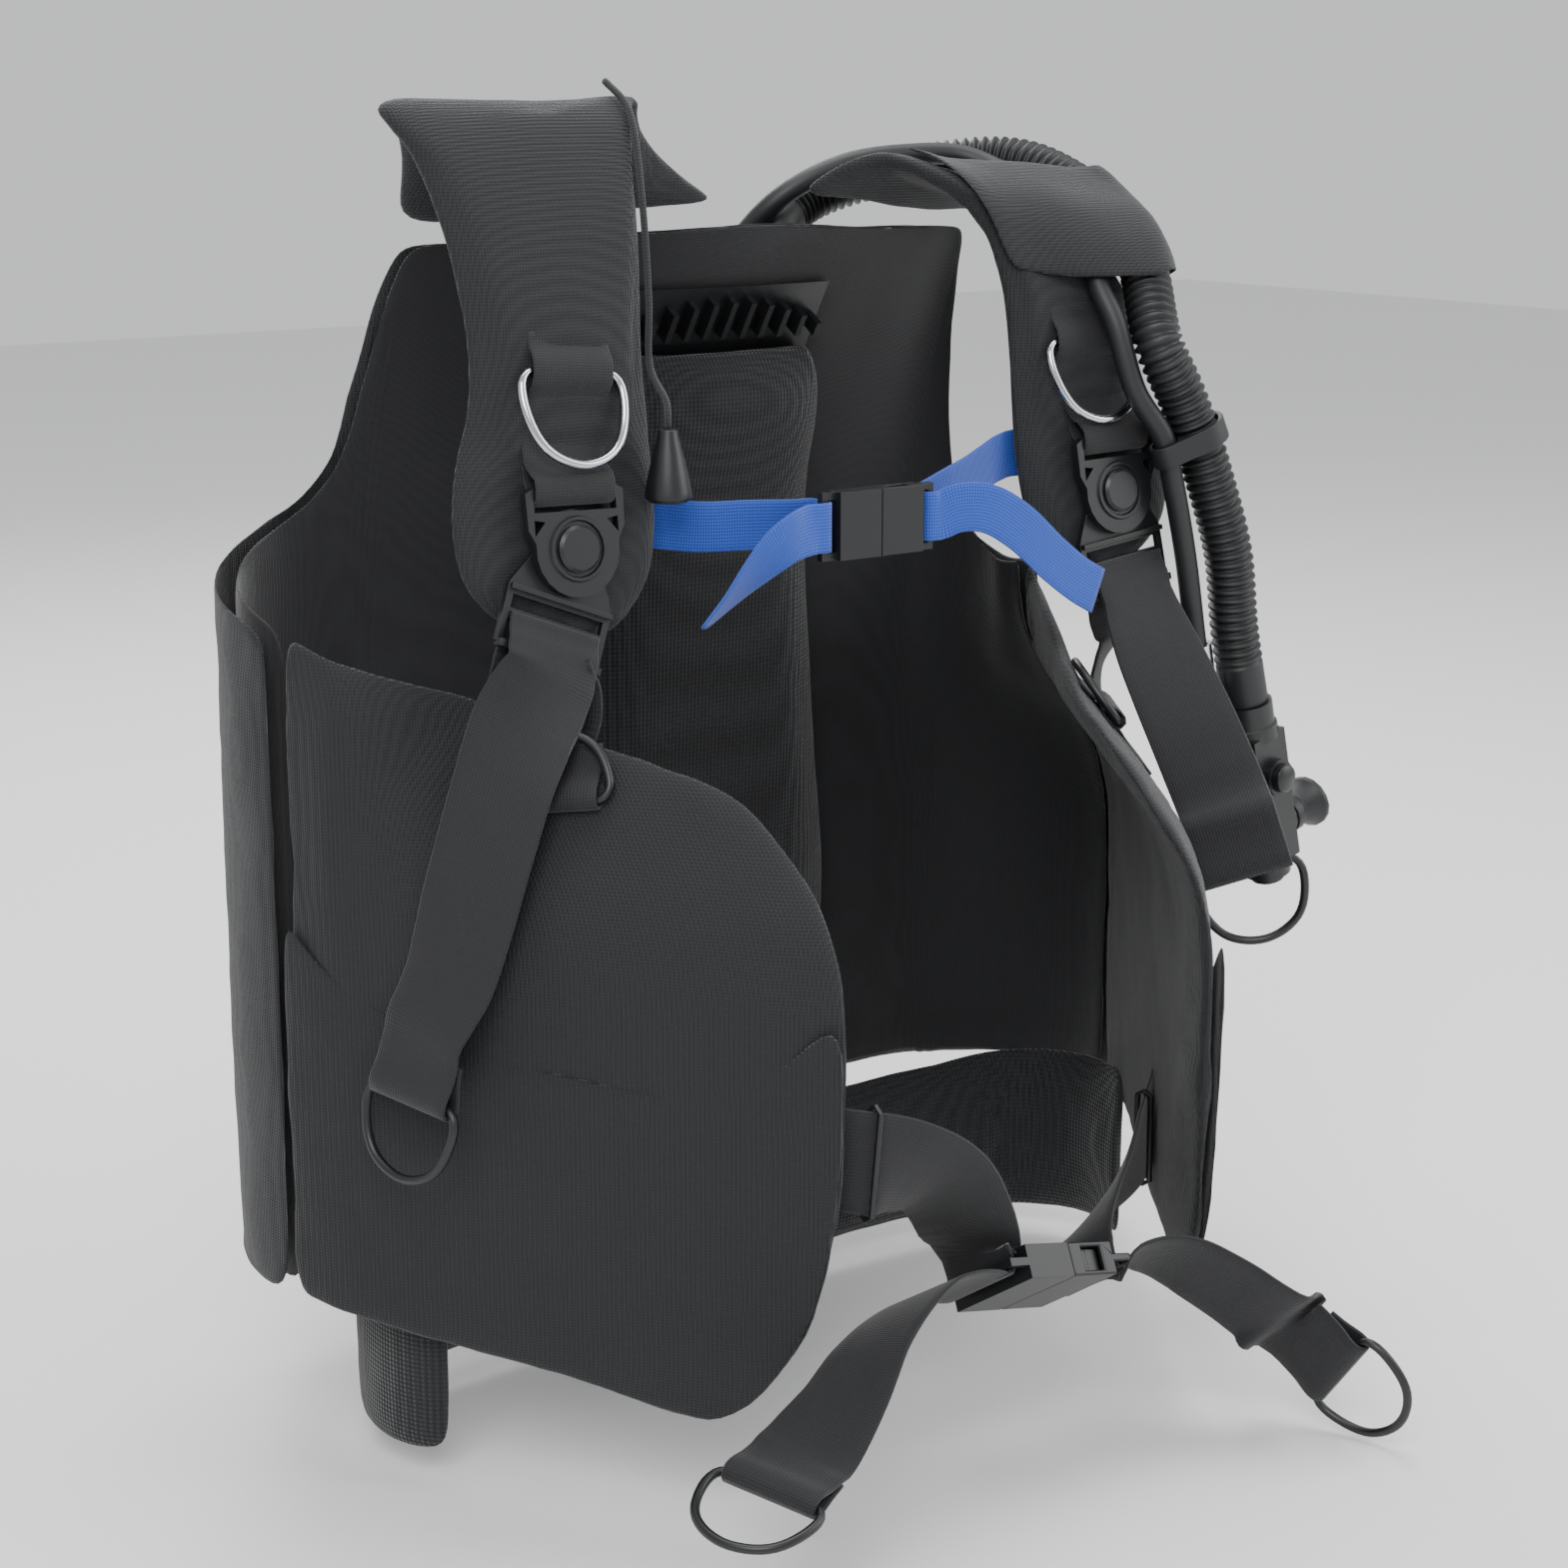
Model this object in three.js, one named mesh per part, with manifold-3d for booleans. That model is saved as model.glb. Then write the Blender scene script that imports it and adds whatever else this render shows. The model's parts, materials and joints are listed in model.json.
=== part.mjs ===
// Buoyancy compensator vest for diving, size L. Millimetres, +Z up, the wearer looks along -Y,
// +X is the wearer's left. The origin lies on the vest's middle line, at the height of the underside
// of the right shoulder strap's crest. The vest is modelled as it hangs when it is worn, unfastened.
import * as THREE from "three";
import { mergeVertices } from "three/addons/utils/BufferGeometryUtils.js";
import Module from "manifold-3d";

const wasm = await Module();
wasm.setup();

const { PI, sin, cos, sqrt, abs, min, max, sign } = Math;
const deg = THREE.MathUtils.degToRad;

// ---- driving dimensions -------------------------------------------------------------------------
const GAP = 0.3; // clearance between pieces that touch

const BACK_Y = 130; // outer face of the back
const CORNER = 100; // round corner between back and wing
const RIGHT_FLAT = 203; // half of the back's flat width, right side
const LEFT_FLAT = 157;
const RIGHT_TURN = deg(127); // how far the section turns at the corner
const LEFT_TURN = deg(123.5);
const WING = 253; // straight length of a front panel from the corner to its edge
const SEAM_BACK = 37; // the side seam lies this far before the corner's end
const RIGHT_LEAN = 42; // how far the right wing's free top leans in
const LEFT_LEAN = 62;

const SHELL = 2.2; // outer fabric with its facing
const CELL = 8; // air cell at rest
const LINING = 2.2;
const PANEL = 8; // front panel: fabric, foam and lining
const POCKET = 2.6; // pocket cloth over the front panel
const POCKET_GAP = 1.6; // the empty pocket's room

const STRAP = 9; // padded shoulder strap
const WEB = 50; // main webbing
const WEB_T = 2;
const CHEST_WEB = 44;
const STERNUM_WEB = 25;
const STERNUM_T = 1.5;

const WIRE = 5.6; // wire diameter of every ring
const RING_W = 55; // chest and pocket rings, between wire centres
const RING_H = 46;
const PULL_W = 57.4; // rings at the ends of the webbing
const PULL_H = 41;

const HOSE_R = 13.5; // corrugated hose, outer radius
const LP_R = 6; // low pressure hose, outer radius
const SLEEVE_T = 1.6;

const PLATE_T = 4; // back plate wall
const FIN_COUNT = 11;
const PAD_T = 12;
const BAND_T = 2.4;

// ---- small helpers ------------------------------------------------------------------------------
const V = (x, y, z) => new THREE.Vector3(x, y, z);
const mix = (a, b, t) => a + (b - a) * t;

function ease(x, from, to) {
  const t = min(1, max(0, (x - from) / (to - from)));
  return t * t * (3 - 2 * t);
}

// A smooth function through [x, y] points with rising x, held level past both ends.
function through(table) {
  const slope = table.map((_, i) => {
    const a = table[max(0, i - 1)];
    const b = table[min(table.length - 1, i + 1)];
    return (b[1] - a[1]) / (b[0] - a[0]);
  });
  return (x) => {
    if (x <= table[0][0]) return table[0][1];
    const last = table.length - 1;
    if (x >= table[last][0]) return table[last][1];
    const i = table.findIndex((q) => q[0] > x) - 1;
    const w = table[i + 1][0] - table[i][0];
    const t = (x - table[i][0]) / w;
    const h = t * t * (3 - 2 * t);
    return (
      mix(table[i][1], table[i + 1][1], h) +
      w * (t * (1 - t) * (1 - t) * slope[i] - t * t * (1 - t) * slope[i + 1])
    );
  };
}

// Only positions, shared corners merged, faces out.
function closed(geometry) {
  const g = geometry.index ? geometry.toNonIndexed() : geometry.clone();
  g.deleteAttribute("normal");
  g.deleteAttribute("uv");
  const merged = mergeVertices(g, 1e-4);
  const p = merged.getAttribute("position");
  const ids = merged.index.array;
  const [a, b, c] = [V(), V(), V()];
  let volume = 0;
  for (let i = 0; i < ids.length; i += 3) {
    a.fromBufferAttribute(p, ids[i]);
    b.fromBufferAttribute(p, ids[i + 1]);
    c.fromBufferAttribute(p, ids[i + 2]);
    volume += a.dot(b.cross(c));
  }
  if (volume < 0)
    for (let i = 0; i < ids.length; i += 3) [ids[i + 1], ids[i + 2]] = [ids[i + 2], ids[i + 1]];
  return merged;
}

function solid(geometry) {
  const g = closed(geometry);
  return new wasm.Manifold(
    new wasm.Mesh({
      numProp: 3,
      vertProperties: new Float32Array(g.getAttribute("position").array),
      triVerts: new Uint32Array(g.index.array),
    })
  );
}

function geometryOf(manifold) {
  const mesh = manifold.getMesh();
  const g = new THREE.BufferGeometry();
  g.setAttribute("position", new THREE.BufferAttribute(mesh.vertProperties, 3));
  g.setIndex(new THREE.BufferAttribute(mesh.triVerts, 1));
  return g;
}

function join(first, ...rest) {
  return geometryOf(rest.reduce((sum, g) => sum.add(solid(g)), solid(first)));
}

function cut(first, ...rest) {
  return geometryOf(rest.reduce((sum, g) => sum.subtract(solid(g)), solid(first)));
}

// Builds a piece at the smallest lift, up to reach, that leaves it GAP clear of the other pieces.
function fit(build, others, reach = 8) {
  const around = others.map(solid);
  let [low, high] = [0, reach];
  for (let i = 0; i < 9; i++) {
    const lift = (low + high) / 2;
    const piece = solid(build(lift));
    if (around.every((o) => piece.minGap(o, 1) >= GAP)) high = lift;
    else low = lift;
  }
  return build(high);
}

// A block of nu x nv x 1 cells bent so that (u, v, w) in 0..1 lands on place(u, v, w).
function bentBlock(nu, nv, place) {
  const g = new THREE.BoxGeometry(1, 1, 1, nu, nv, 1);
  const p = g.getAttribute("position");
  for (let i = 0; i < p.count; i++) {
    const q = place(p.getX(i) + 0.5, p.getY(i) + 0.5, p.getZ(i) + 0.5);
    p.setXYZ(i, q.x, q.y, q.z);
  }
  // The two big faces split their cells along the same diagonal, so that layers nest.
  const ids = g.index.array;
  const { start, count } = g.groups[5];
  for (let i = start; i < start + count; i += 6) {
    const [a, b, d, , c] = ids.slice(i, i + 6);
    ids.set([a, b, c, a, c, d], i);
  }
  return closed(g);
}

// Flat webbing along a path. Each stop is [x, y, z] with the direction across at that stop.
function ribbon(stops, width, thick, steps) {
  const path = new THREE.CatmullRomCurve3(stops.map((s) => V(...s.at)), false, "centripetal");
  const across = new THREE.CatmullRomCurve3(stops.map((s) => V(...s.across).normalize()));
  return bentBlock(steps, 1, (u, v, w) => {
    const side = across.getPoint(u).normalize();
    const along = path.getTangent(u);
    const out = V().crossVectors(along, side).normalize();
    return path
      .getPoint(u)
      .addScaledVector(side, (v - 0.5) * width)
      .addScaledVector(out, (w - 0.5) * thick);
  });
}

// A closed round wire through points in a plane, spanned by the two given directions.
function wireRing(outline, wire, place, around = 36, sides = 8) {
  const loop = new THREE.CatmullRomCurve3(outline.map(([a, b]) => V(a, b, 0)), true, "centripetal");
  const g = new THREE.TorusGeometry(2, 1, sides, around);
  const p = g.getAttribute("position");
  for (let i = 0; i < p.count; i++) {
    const [x, y, z] = [p.getX(i), p.getY(i), p.getZ(i)];
    let turn = Math.atan2(y, x) / (2 * PI);
    if (turn < 0) turn += 1;
    if (turn > 1 - 1e-6) turn = 0;
    const middle = loop.getPointAt(turn);
    const along = loop.getTangentAt(turn);
    const outward = V(along.y, -along.x, 0);
    middle.addScaledVector(outward, ((sqrt(x * x + y * y) - 2) * wire) / 2);
    middle.z += (z * wire) / 2;
    const q = place(middle.x, middle.y, middle.z);
    p.setXYZ(i, q.x, q.y, q.z);
  }
  return closed(g);
}

function tube(points, radius, sides, steps, divisions = 12) {
  const path = new THREE.CatmullRomCurve3(points.map((p) => V(...p)), false, "centripetal");
  path.arcLengthDivisions = steps * divisions;
  const section = new THREE.Shape();
  for (let i = 0; i < sides; i++) {
    const a = (2 * PI * i) / sides;
    if (i === 0) section.moveTo(radius, 0);
    else section.lineTo(radius * cos(a), radius * sin(a));
  }
  section.closePath();
  return closed(
    new THREE.ExtrudeGeometry(section, { steps, bevelEnabled: false, extrudePath: path })
  );
}

// An extruded outline, its thickness centred on the local XY plane.
function plate(outline, holes, thick, bevel = 0) {
  const points = outline.map(([x, y]) => new THREE.Vector2(x, y));
  if (THREE.ShapeUtils.isClockWise(points)) points.reverse();
  const shape = new THREE.Shape(points);
  for (const hole of holes)
    shape.holes.push(new THREE.Path(hole.map(([x, y]) => new THREE.Vector2(x, y))));
  const g = new THREE.ExtrudeGeometry(shape, {
    depth: thick - 2 * bevel,
    bevelEnabled: bevel > 0,
    bevelThickness: bevel,
    bevelSize: bevel,
    bevelOffset: -bevel,
    bevelSegments: 1,
  });
  return g.translate(0, 0, -thick / 2 + bevel);
}

const box = (w, d, h, x = 0, y = 0, z = 0) => new THREE.BoxGeometry(w, d, h).translate(x, y, z);

function rod(radius, length, sides = 24) {
  return new THREE.CylinderGeometry(radius, radius, length, sides).rotateX(PI / 2);
}

function lathe(profile, sides = 24) {
  return new THREE.LatheGeometry(profile.map(([r, z]) => new THREE.Vector2(r, z)), sides).rotateX(
    PI / 2
  );
}

const rectangle = (x0, y0, x1, y1) => [
  [x0, y0],
  [x1, y0],
  [x1, y1],
  [x0, y1],
];

function arcPoints(cx, cy, r, from, to, count) {
  return Array.from({ length: count + 1 }, (_, i) => {
    const a = mix(from, to, i / count);
    return [cx + r * cos(a), cy + r * sin(a)];
  });
}

const vest = new THREE.Group();
const finish = (color, roughness, metalness = 0) => ({ color, roughness, metalness });
const CLOTH = finish(0x111214, 0.9);
const LINER = finish(0x0c0c0e, 0.7);
const WEBBING = finish(0x0e0e10, 0.8);
const BLUE = finish(0x1b4fc4, 0.7);
const PLASTIC = finish(0x141416, 0.45);
const STEEL = finish(0xc8ccd0, 0.18, 1);
const RUBBER = finish(0x1a1a1c, 0.6);
const FOAM = finish(0x101012, 0.85);
const FILM = finish(0x2a2a30, 0.4);

function add(name, geometry, look) {
  const mesh = new THREE.Mesh(geometry, new THREE.MeshStandardMaterial(look));
  mesh.name = name;
  vest.add(mesh);
}

const shapeOf = (name) => vest.getObjectByName(name).geometry;

// ---- the torso's surface ------------------------------------------------------------------------
// The lean grows over the stretch between the two distances of `ramp` and shortens the wing by `drift`.
const SIDES = {
  right: { s: -1, flat: RIGHT_FLAT, turn: RIGHT_TURN, lean: RIGHT_LEAN, ramp: [420, 510], drift: 0.3 },
  left: { s: 1, flat: LEFT_FLAT, turn: LEFT_TURN, lean: LEFT_LEAN, ramp: [147, 277], drift: 0 },
};
const LEAN_FROM = -385; // the wing stands upright below this height
const LEAN_FULL = -265;
const seamAt = (side) => side.flat + side.turn * CORNER - SEAM_BACK;
const wingStart = (side) => side.flat + side.turn * CORNER;

// Depth of the yoke at the spine and at the armhole, against height.
const spineY = through([
  [-330, 0], [-250, -5], [-180, -18], [-130, -40], [-92, -64], [-53, -102],
]);
const armholeY = through([
  [-330, 0], [-250, -1], [-156, -8], [-100, -22], [-60, -38],
]);

// A point at distance s round the section from the spine, at height z, sunk by depth from the outer face.
function torso(side, s, z, depth) {
  const psi = min(side.turn, max(0, (s - side.flat) / CORNER));
  const lean = side.lean * ease(z, LEAN_FROM, LEAN_FULL) * ease(s, ...side.ramp);
  const along = max(0, s - wingStart(side)) - side.drift * lean;
  const nx = sin(psi);
  const ny = cos(psi);
  const x = min(s, side.flat) + CORNER * nx + along * cos(psi);
  const y = CORNER * (ny - 1) - along * sin(psi);
  const inward = depth + lean;
  const q = min(1, x / 190);
  const yoke = mix(spineY(z), armholeY(z), q * q) * (1 - ease(s, 190, 260));
  return V(side.s * (x - inward * nx), BACK_Y + y - inward * ny + yoke, z - 0.2 * lean);
}

function torsoNormal(side, s, z) {
  const d = 0.5;
  const across = torso(side, s + d, z, 0).sub(torso(side, s - d, z, 0));
  const up = torso(side, s, z + d, 0).sub(torso(side, s, z - d, 0));
  return V().crossVectors(across, up).multiplyScalar(-side.s).normalize();
}

const hemOfBack = -572;
const YOKE_TOP = through([[0, -56], [12, -56], [60, -60], [178, -64]]);
const ARMHOLE = {
  right: through([
    [176, -64], [182, -92], [192, -156], [199, -175], [215, -193], [255, -208], [300, -219],
    [345, -228], [388, -238],
  ]),
  left: through([
    [176, -64], [183, -92], [192, -150], [196, -195], [204, -220], [224, -236], [262, -240],
    [300, -240], [336, -238],
  ]),
};

function backTop(name, s) {
  return s <= 176 ? YOKE_TOP(s) : ARMHOLE[name](s);
}

// Column positions from seam to seam: close together where the armhole edge is steep.
function backColumns() {
  const half = (name) => {
    const steep = [60, 120, 165, 176, 181, 187, 193, 200, 214, 236];
    const round = [0.22, 0.44, 0.66, 0.84, 1].map((f) => mix(236, seamAt(SIDES[name]), f));
    return [...steep, ...round].map((s) => [name, s]);
  };
  return [...half("right").reverse(), ["left", 0], ...half("left")];
}

// One layer of the back between two depths. Every layer uses the same grid of columns and rows, so that
// their facets run side by side; the air cell leaves the grid's margin free.
const BACK_COLUMNS = backColumns();
const BACK_ROWS = [0, 0.2, 0.4, 0.55, 0.68, 0.79, 0.89, 1]; // heights of the rows, close at the yoke

function backLayer(outer, inner, columnMargin = 0, rowMargin = 0) {
  const columns = BACK_COLUMNS.slice(columnMargin, BACK_COLUMNS.length - columnMargin);
  const rows = BACK_ROWS.length - 1 - 2 * rowMargin;
  return bentBlock(columns.length - 1, rows, (u, v, w) => {
    const [name, s] = columns[Math.round(u * (columns.length - 1))];
    const row = Math.round(v * rows) + rowMargin;
    const z = mix(hemOfBack, backTop(name, s), BACK_ROWS[row]);
    return torso(SIDES[name], s, z, mix(inner, outer, w));
  });
}

add("back_shell", backLayer(0, SHELL), CLOTH);
const cellIn = SHELL + GAP;
const liningIn = cellIn + CELL + GAP;
const BACK_T = liningIn + LINING; // whole thickness of the back
add("air_cell", backLayer(cellIn, cellIn + CELL, 1, 1), FILM);
add("back_lining", backLayer(liningIn, BACK_T), LINER);

// Front panels: outline against the distance t past the corner.
const panelTop = through([
  [-37, -238], [1, -247], [36, -254], [70, -261], [114, -275], [153, -285], [200, -299],
]);
const panelHem = through([
  [-37, -571], [25, -583], [108, -595], [149, -605], [190, -611],
]);
const panelEdge = through([
  [-611, 190], [-600, 212], [-582, 225], [-545, 240], [-484, 251], [-417, 253], [-365, 247],
  [-325, 228], [-299, 200],
]);

// A stretch of front panel: u from the side seam to the edge, v from low(u) to high(u).
const ROUND_COLUMNS = 3; // columns on the corner, the rest spread over the flat wing

function wing(name, nu, nv, low, high, outer, inner, inset) {
  const side = SIDES[name];
  const start = wingStart(side);
  const seam = -SEAM_BACK + GAP + inset;
  return bentBlock(nu, nv, (u, v, w) => {
    const zEdge = mix(low(1) + inset, high(1) - inset, v);
    const column = Math.round(u * nu);
    const onRound = min(1, column / ROUND_COLUMNS);
    const onFlat = max(0, (column - ROUND_COLUMNS) / (nu - ROUND_COLUMNS));
    const t = mix(seam, 0, onRound) + onFlat * (panelEdge(zEdge) - inset);
    const across = (t - seam) / (panelEdge(zEdge) - inset - seam);
    const z = mix(low(across) + inset, high(across) - inset, v);
    return torso(side, start + t, z, mix(inner, outer, w));
  });
}

const hemAcross = (u) => panelHem(mix(-37, 190, u));
const topAcross = (u) => panelTop(mix(-37, 200, u));
const mouthAcross = (u) => through([
  [0, -372], [0.15, -408], [0.35, -427], [0.6, -438], [0.78, -438], [0.9, -424], [1, -388],
])(u);
for (const name of ["right", "left"]) {
  const panelFrom = POCKET + POCKET_GAP;
  add(
    name + "_front_panel",
    wing(name, 11, 9, hemAcross, topAcross, panelFrom, panelFrom + PANEL, 0),
    CLOTH
  );
  add(
    name + "_pocket",
    wing(name, 11, 5, hemAcross, mouthAcross, 0, POCKET, 3),
    CLOTH
  );
}

// ---- shoulder straps ----------------------------------------------------------------------------
// Edge points from the yoke over the crest to the rounded end on the chest; x is the distance from the
// vest's middle line.
const STRAP_FRONT_INNER = [
  [108, -41, -89], [110, -44, -120], [109, -48, -151], [110, -53, -187], [114, -57, -213],
  [125, -59, -231], [140, -61, -243], [158, -62, -249],
];
const STRAP_FRONT_OUTER = [
  [214, -42, -98], [216, -46, -134], [225, -48, -156], [231, -53, -183], [229, -57, -211],
  [215, -60, -232], [196, -61, -244], [172, -62, -249],
];
const STRAP_EDGES = {
  right: {
    inner: [
      [12, 28, -54], [48, 27, -35], [74, 20, -8], [85, 8, 9], [93, -8, 0], [98, -16, -9],
      [104, -31, -42], ...STRAP_FRONT_INNER,
    ],
    outer: [
      [178, 92, -62], [190, 62, -26], [212, 30, 0], [231, 8, 9], [230, -8, 0], [224, -20, -18],
      [218, -34, -55], ...STRAP_FRONT_OUTER,
    ],
  },
  left: {
    inner: [
      [12, 28, -54], [33, 18, -36], [56, 8, -22], [66, -4, -20], [76, -16, -24], [88, -26, -34],
      [103, -33, -54], ...STRAP_FRONT_INNER.map(([x, y, z]) => [x + 4, y, z]),
    ],
    outer: [
      [178, 92, -58], [187, 64, -48], [194, 36, -50], [199, 14, -60], [200, -6, -72],
      [202, -20, -80], [205, -33, -90], [208, -43, -106],
      ...STRAP_FRONT_OUTER.slice(1).map(([x, y, z]) => [x - 6, y, z]),
    ],
  },
};
const STRAP_STOPS = 14;
const strapCurves = {};
for (const name of ["right", "left"]) {
  const s = SIDES[name].s;
  strapCurves[name] = ["inner", "outer"].map(
    (edge) =>
      new THREE.CatmullRomCurve3(
        STRAP_EDGES[name][edge].map(([x, y, z]) => V(s * x, y, z)),
        false,
        "catmullrom",
        0.5
      )
  );
}

// The strap's outer face: u from the inner to the outer edge, k along the stops.
function strapFace(name, u, k) {
  const [inner, outer] = strapCurves[name];
  const p = inner.getPoint(k / STRAP_STOPS).lerp(outer.getPoint(k / STRAP_STOPS), u);
  const rise = max(0, 1 - k / 3);
  p.y -= 64 * (u - u * u) * rise * rise; // meets the yoke's curved edge
  const crown = 4 * (1 - (2 * u - 1) ** 2) * ease(k, 1, 4);
  p.y -= crown * ease(k, 3, 7);
  return p;
}

function strapNormal(name, u, k) {
  const [u0, u1] = [max(0, u - 0.02), min(1, u + 0.02)];
  const [k0, k1] = [max(0, k - 0.1), min(STRAP_STOPS, k + 0.1)];
  const across = strapFace(name, u1, k).sub(strapFace(name, u0, k));
  const along = strapFace(name, u, k1).sub(strapFace(name, u, k0));
  return V().crossVectors(along, across).multiplyScalar(SIDES[name].s).normalize();
}

// A point over the strap's face by height, which is negative inside the padding.
const onStrap = (name, u, k, height) =>
  strapFace(name, u, k).addScaledVector(strapNormal(name, u, k), height);

for (const name of ["right", "left"]) {
  const start = name === "right" ? 0.24 : 0.5;
  add(
    name + "_shoulder_strap",
    bentBlock(5, 24, (u, v, w) => {
      const k = mix(start, STRAP_STOPS, v);
      const thick = mix(SHELL + CELL, STRAP, ease(k, 0, 2));
      return onStrap(name, u, k, (w - 1) * thick);
    }),
    CLOTH
  );
}

// ---- chest hardware on each strap ---------------------------------------------------------------
// A local frame on the strap's face: x towards the wearer's left, y up along the strap, z out of it.
function frameAt(origin, out, up) {
  const z = out.clone().normalize();
  const x = V().crossVectors(up, z).normalize();
  const y = V().crossVectors(z, x);
  return new THREE.Matrix4().makeBasis(x, y, z).setPosition(origin);
}

const place = (geometry, matrix) => geometry.clone().applyMatrix4(matrix);
const at = (matrix) => (x, y, z) => V(x, y, z).applyMatrix4(matrix);

function dOutline(width, height) {
  const r = width / 2;
  const bow = [-0.25, -0.5, -0.75].map((f) => [r * cos(f * PI), -height + r * 0.95 + r * 0.95 * sin(f * PI)]);
  return [
    [0, 0], [r * 0.5, 0], [r * 0.9, -0.2], [r, -r * 0.14], [r, -height + r * 0.95], ...bow,
    [-r, -height + r * 0.95], [-r, -r * 0.14], [-r * 0.9, -0.2], [-r * 0.5, 0],
  ];
}

const dRing = (wire, matrix, width = RING_W, height = RING_H) =>
  wireRing(dOutline(width, height), wire, at(matrix), 24, 6);

const RING_K = 7.75; // ring bar's place along the strap
const SWIVEL_K = 10.6;
const SWIVEL_OUT = 9.5; // swivel plate's middle over the strap
const SWIVEL_TILT = { right: deg(20), left: deg(5) };
const PLATE_R = 23;
const PLATE_W = 54;
const PLATE_THICK = 5;
const FRAME_T = 3.2;
const STRIP_T = 1.3; // thin webbing that holds the ring and the plate

function seatAt(name, k, rise) {
  const out = strapNormal(name, 0.5, k);
  const up = strapFace(name, 0.5, k - 0.3).sub(strapFace(name, 0.5, k + 0.3));
  return frameAt(onStrap(name, 0.5, k, rise), out, up);
}

const axisX = (matrix) => V().setFromMatrixColumn(matrix, 0);
const moved = (x, y, z) => new THREE.Matrix4().makeTranslation(x, y, z);

// A stop of a ribbon: height over a local frame, place along it, the frame's x lies across.
const stop = (matrix, h, y) => ({
  at: V(0, y, h).applyMatrix4(matrix).toArray(),
  across: axisX(matrix).toArray(),
});

function swivelPlate() {
  const half = PLATE_W / 2;
  const outline = [
    [-half, 27], [-half + 5, 30], [half - 5, 30], [half, 27], [half - 0.5, 10],
    ...arcPoints(0, 0, PLATE_R, deg(8), -deg(188), 12), [-half + 0.5, 10],
  ];
  const slot = rectangle(-PLATE_W / 2 + 4.4, 18, PLATE_W / 2 - 4.4, 25);
  const cheeks = [-1, 1].map((k) => [[k * 23, 14.5], [k * 23, 7], [k * 17, 13.5]]);
  const button = lathe([[0, 0], [11.5, 0], [11.5, 2.8], [10, 4.2], [0, 4.2]], 20);
  const eye = new THREE.TorusGeometry(14.5, 1.5, 6, 20).translate(0, 0, 2.4);
  return join(plate(outline, [slot, ...cheeks], PLATE_THICK), button.translate(0, 0, 1.2), eye);
}

function swivelFrame() {
  const outline = [
    ...arcPoints(0, 0, 19, -deg(15), deg(195), 12), [-26, -18], [-29, -24], [-29, -52],
    [-27, -54.5], [27, -54.5], [29, -52], [29, -24], [26, -18],
  ];
  const w = WEB / 2 + 0.5;
  const slots = [rectangle(-w, -35.5, w, -29), rectangle(-w, -49.5, w, -40.5)];
  const lip = box(57, 3.6, 6, 0, -52.7, 2.2);
  const topLip = box(57, 2.6, 5, 0, -25.6, 1.9);
  return join(plate(outline, slots, FRAME_T), lip, topLip);
}

for (const name of ["right", "left"]) {
  const s = SIDES[name].s;
  const barRise = WIRE / 2 + 0.5;
  const ringSeat = seatAt(name, RING_K, 0);
  const ringFrame = ringSeat.clone().multiply(moved(0, 0, barRise));
  const hang = new THREE.Matrix4().makeRotationX(-deg(17));
  add(name + "_chest_ring", dRing(WIRE, ringFrame.clone().multiply(hang)), STEEL);

  const swivel = seatAt(name, SWIVEL_K, SWIVEL_OUT);
  add(name + "_swivel_plate", place(swivelPlate(), swivel), PLASTIC);
  const under = moved(0, 0, -(PLATE_THICK + FRAME_T) / 2 - GAP);
  const tilt = new THREE.Matrix4().makeRotationZ(s * SWIVEL_TILT[name]);
  const frame = swivel.clone().multiply(tilt).multiply(under);
  add(name + "_swivel_frame", place(swivelFrame(), frame), PLASTIC);
  SIDES[name].frame = frame;

  // One strip of webbing, sewn to the strap, holds the ring and the swivel plate.
  const sewn = STRIP_T / 2 + 0.5;
  const over = WIRE + STRIP_T / 2 + 0.9;
  const ringLoop = [
    [sewn, 18], [sewn + 0.6, 12.5], [over - 0.8, 5.4], [over, 0], [over - 0.8, -5.4],
    [sewn + 0.6, -12.5],
  ];
  const front = PLATE_THICK / 2 + STRIP_T / 2 + 0.8;
  const low = sewn - SWIVEL_OUT;
  const plateLoop = [
    [low + 4, 41], [front - 0.6, 33.5], [front, 28], [front - 0.9, 23.4], [0, 21.3],
    [-front + 0.6, 22.6], [-front, 27], [low + 0.6, 35], [low, 40],
  ];
  const strip = [
    ...ringLoop.map(([h, y]) => stop(ringSeat, h, y)),
    ...[8.5, 8.8].map((k) => stop(seatAt(name, k, 0), sewn, 0)),
    ...plateLoop.map(([h, y]) => stop(swivel, h, y)),
  ];
  add(name + "_chest_webbing", ribbon(strip, CHEST_WEB, STRIP_T, 2 * (strip.length - 1)), WEBBING);
}

// ---- webbing, rings and anchors below the swivel frames -----------------------------------------
const RIDE = FRAME_T / 2 + GAP + WEB_T / 2; // middle of webbing that lies on the swivel frame
const HUG = WIRE / 2 + GAP + WEB_T / 2 + 0.5; // middle of webbing folded round a ring's bar
const PANEL_OUT = POCKET + POCKET_GAP; // depth of the front panel's outer face
const PANEL_T = PANEL_OUT + PANEL;

const spot = (point, across) => ({ at: point.toArray ? point.toArray() : point, across });

// A point by distance t past the corner, height over the upright wing and z, whatever the lean.
const overWing = (name, t, rise, z) =>
  torso({ ...SIDES[name], lean: 0 }, wingStart(SIDES[name]) + t, z, -rise);
const onWing = (name, t, z, depth) => torso(SIDES[name], wingStart(SIDES[name]) + t, z, depth);

// A ring's frame: its bar lies across, its bow hangs down.
function ringAt(origin, across, down) {
  const x = V(...across).normalize();
  const y = V(...down).negate();
  y.addScaledVector(x, -x.dot(y)).normalize();
  return new THREE.Matrix4().makeBasis(x, y, V().crossVectors(x, y)).setPosition(origin);
}

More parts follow.
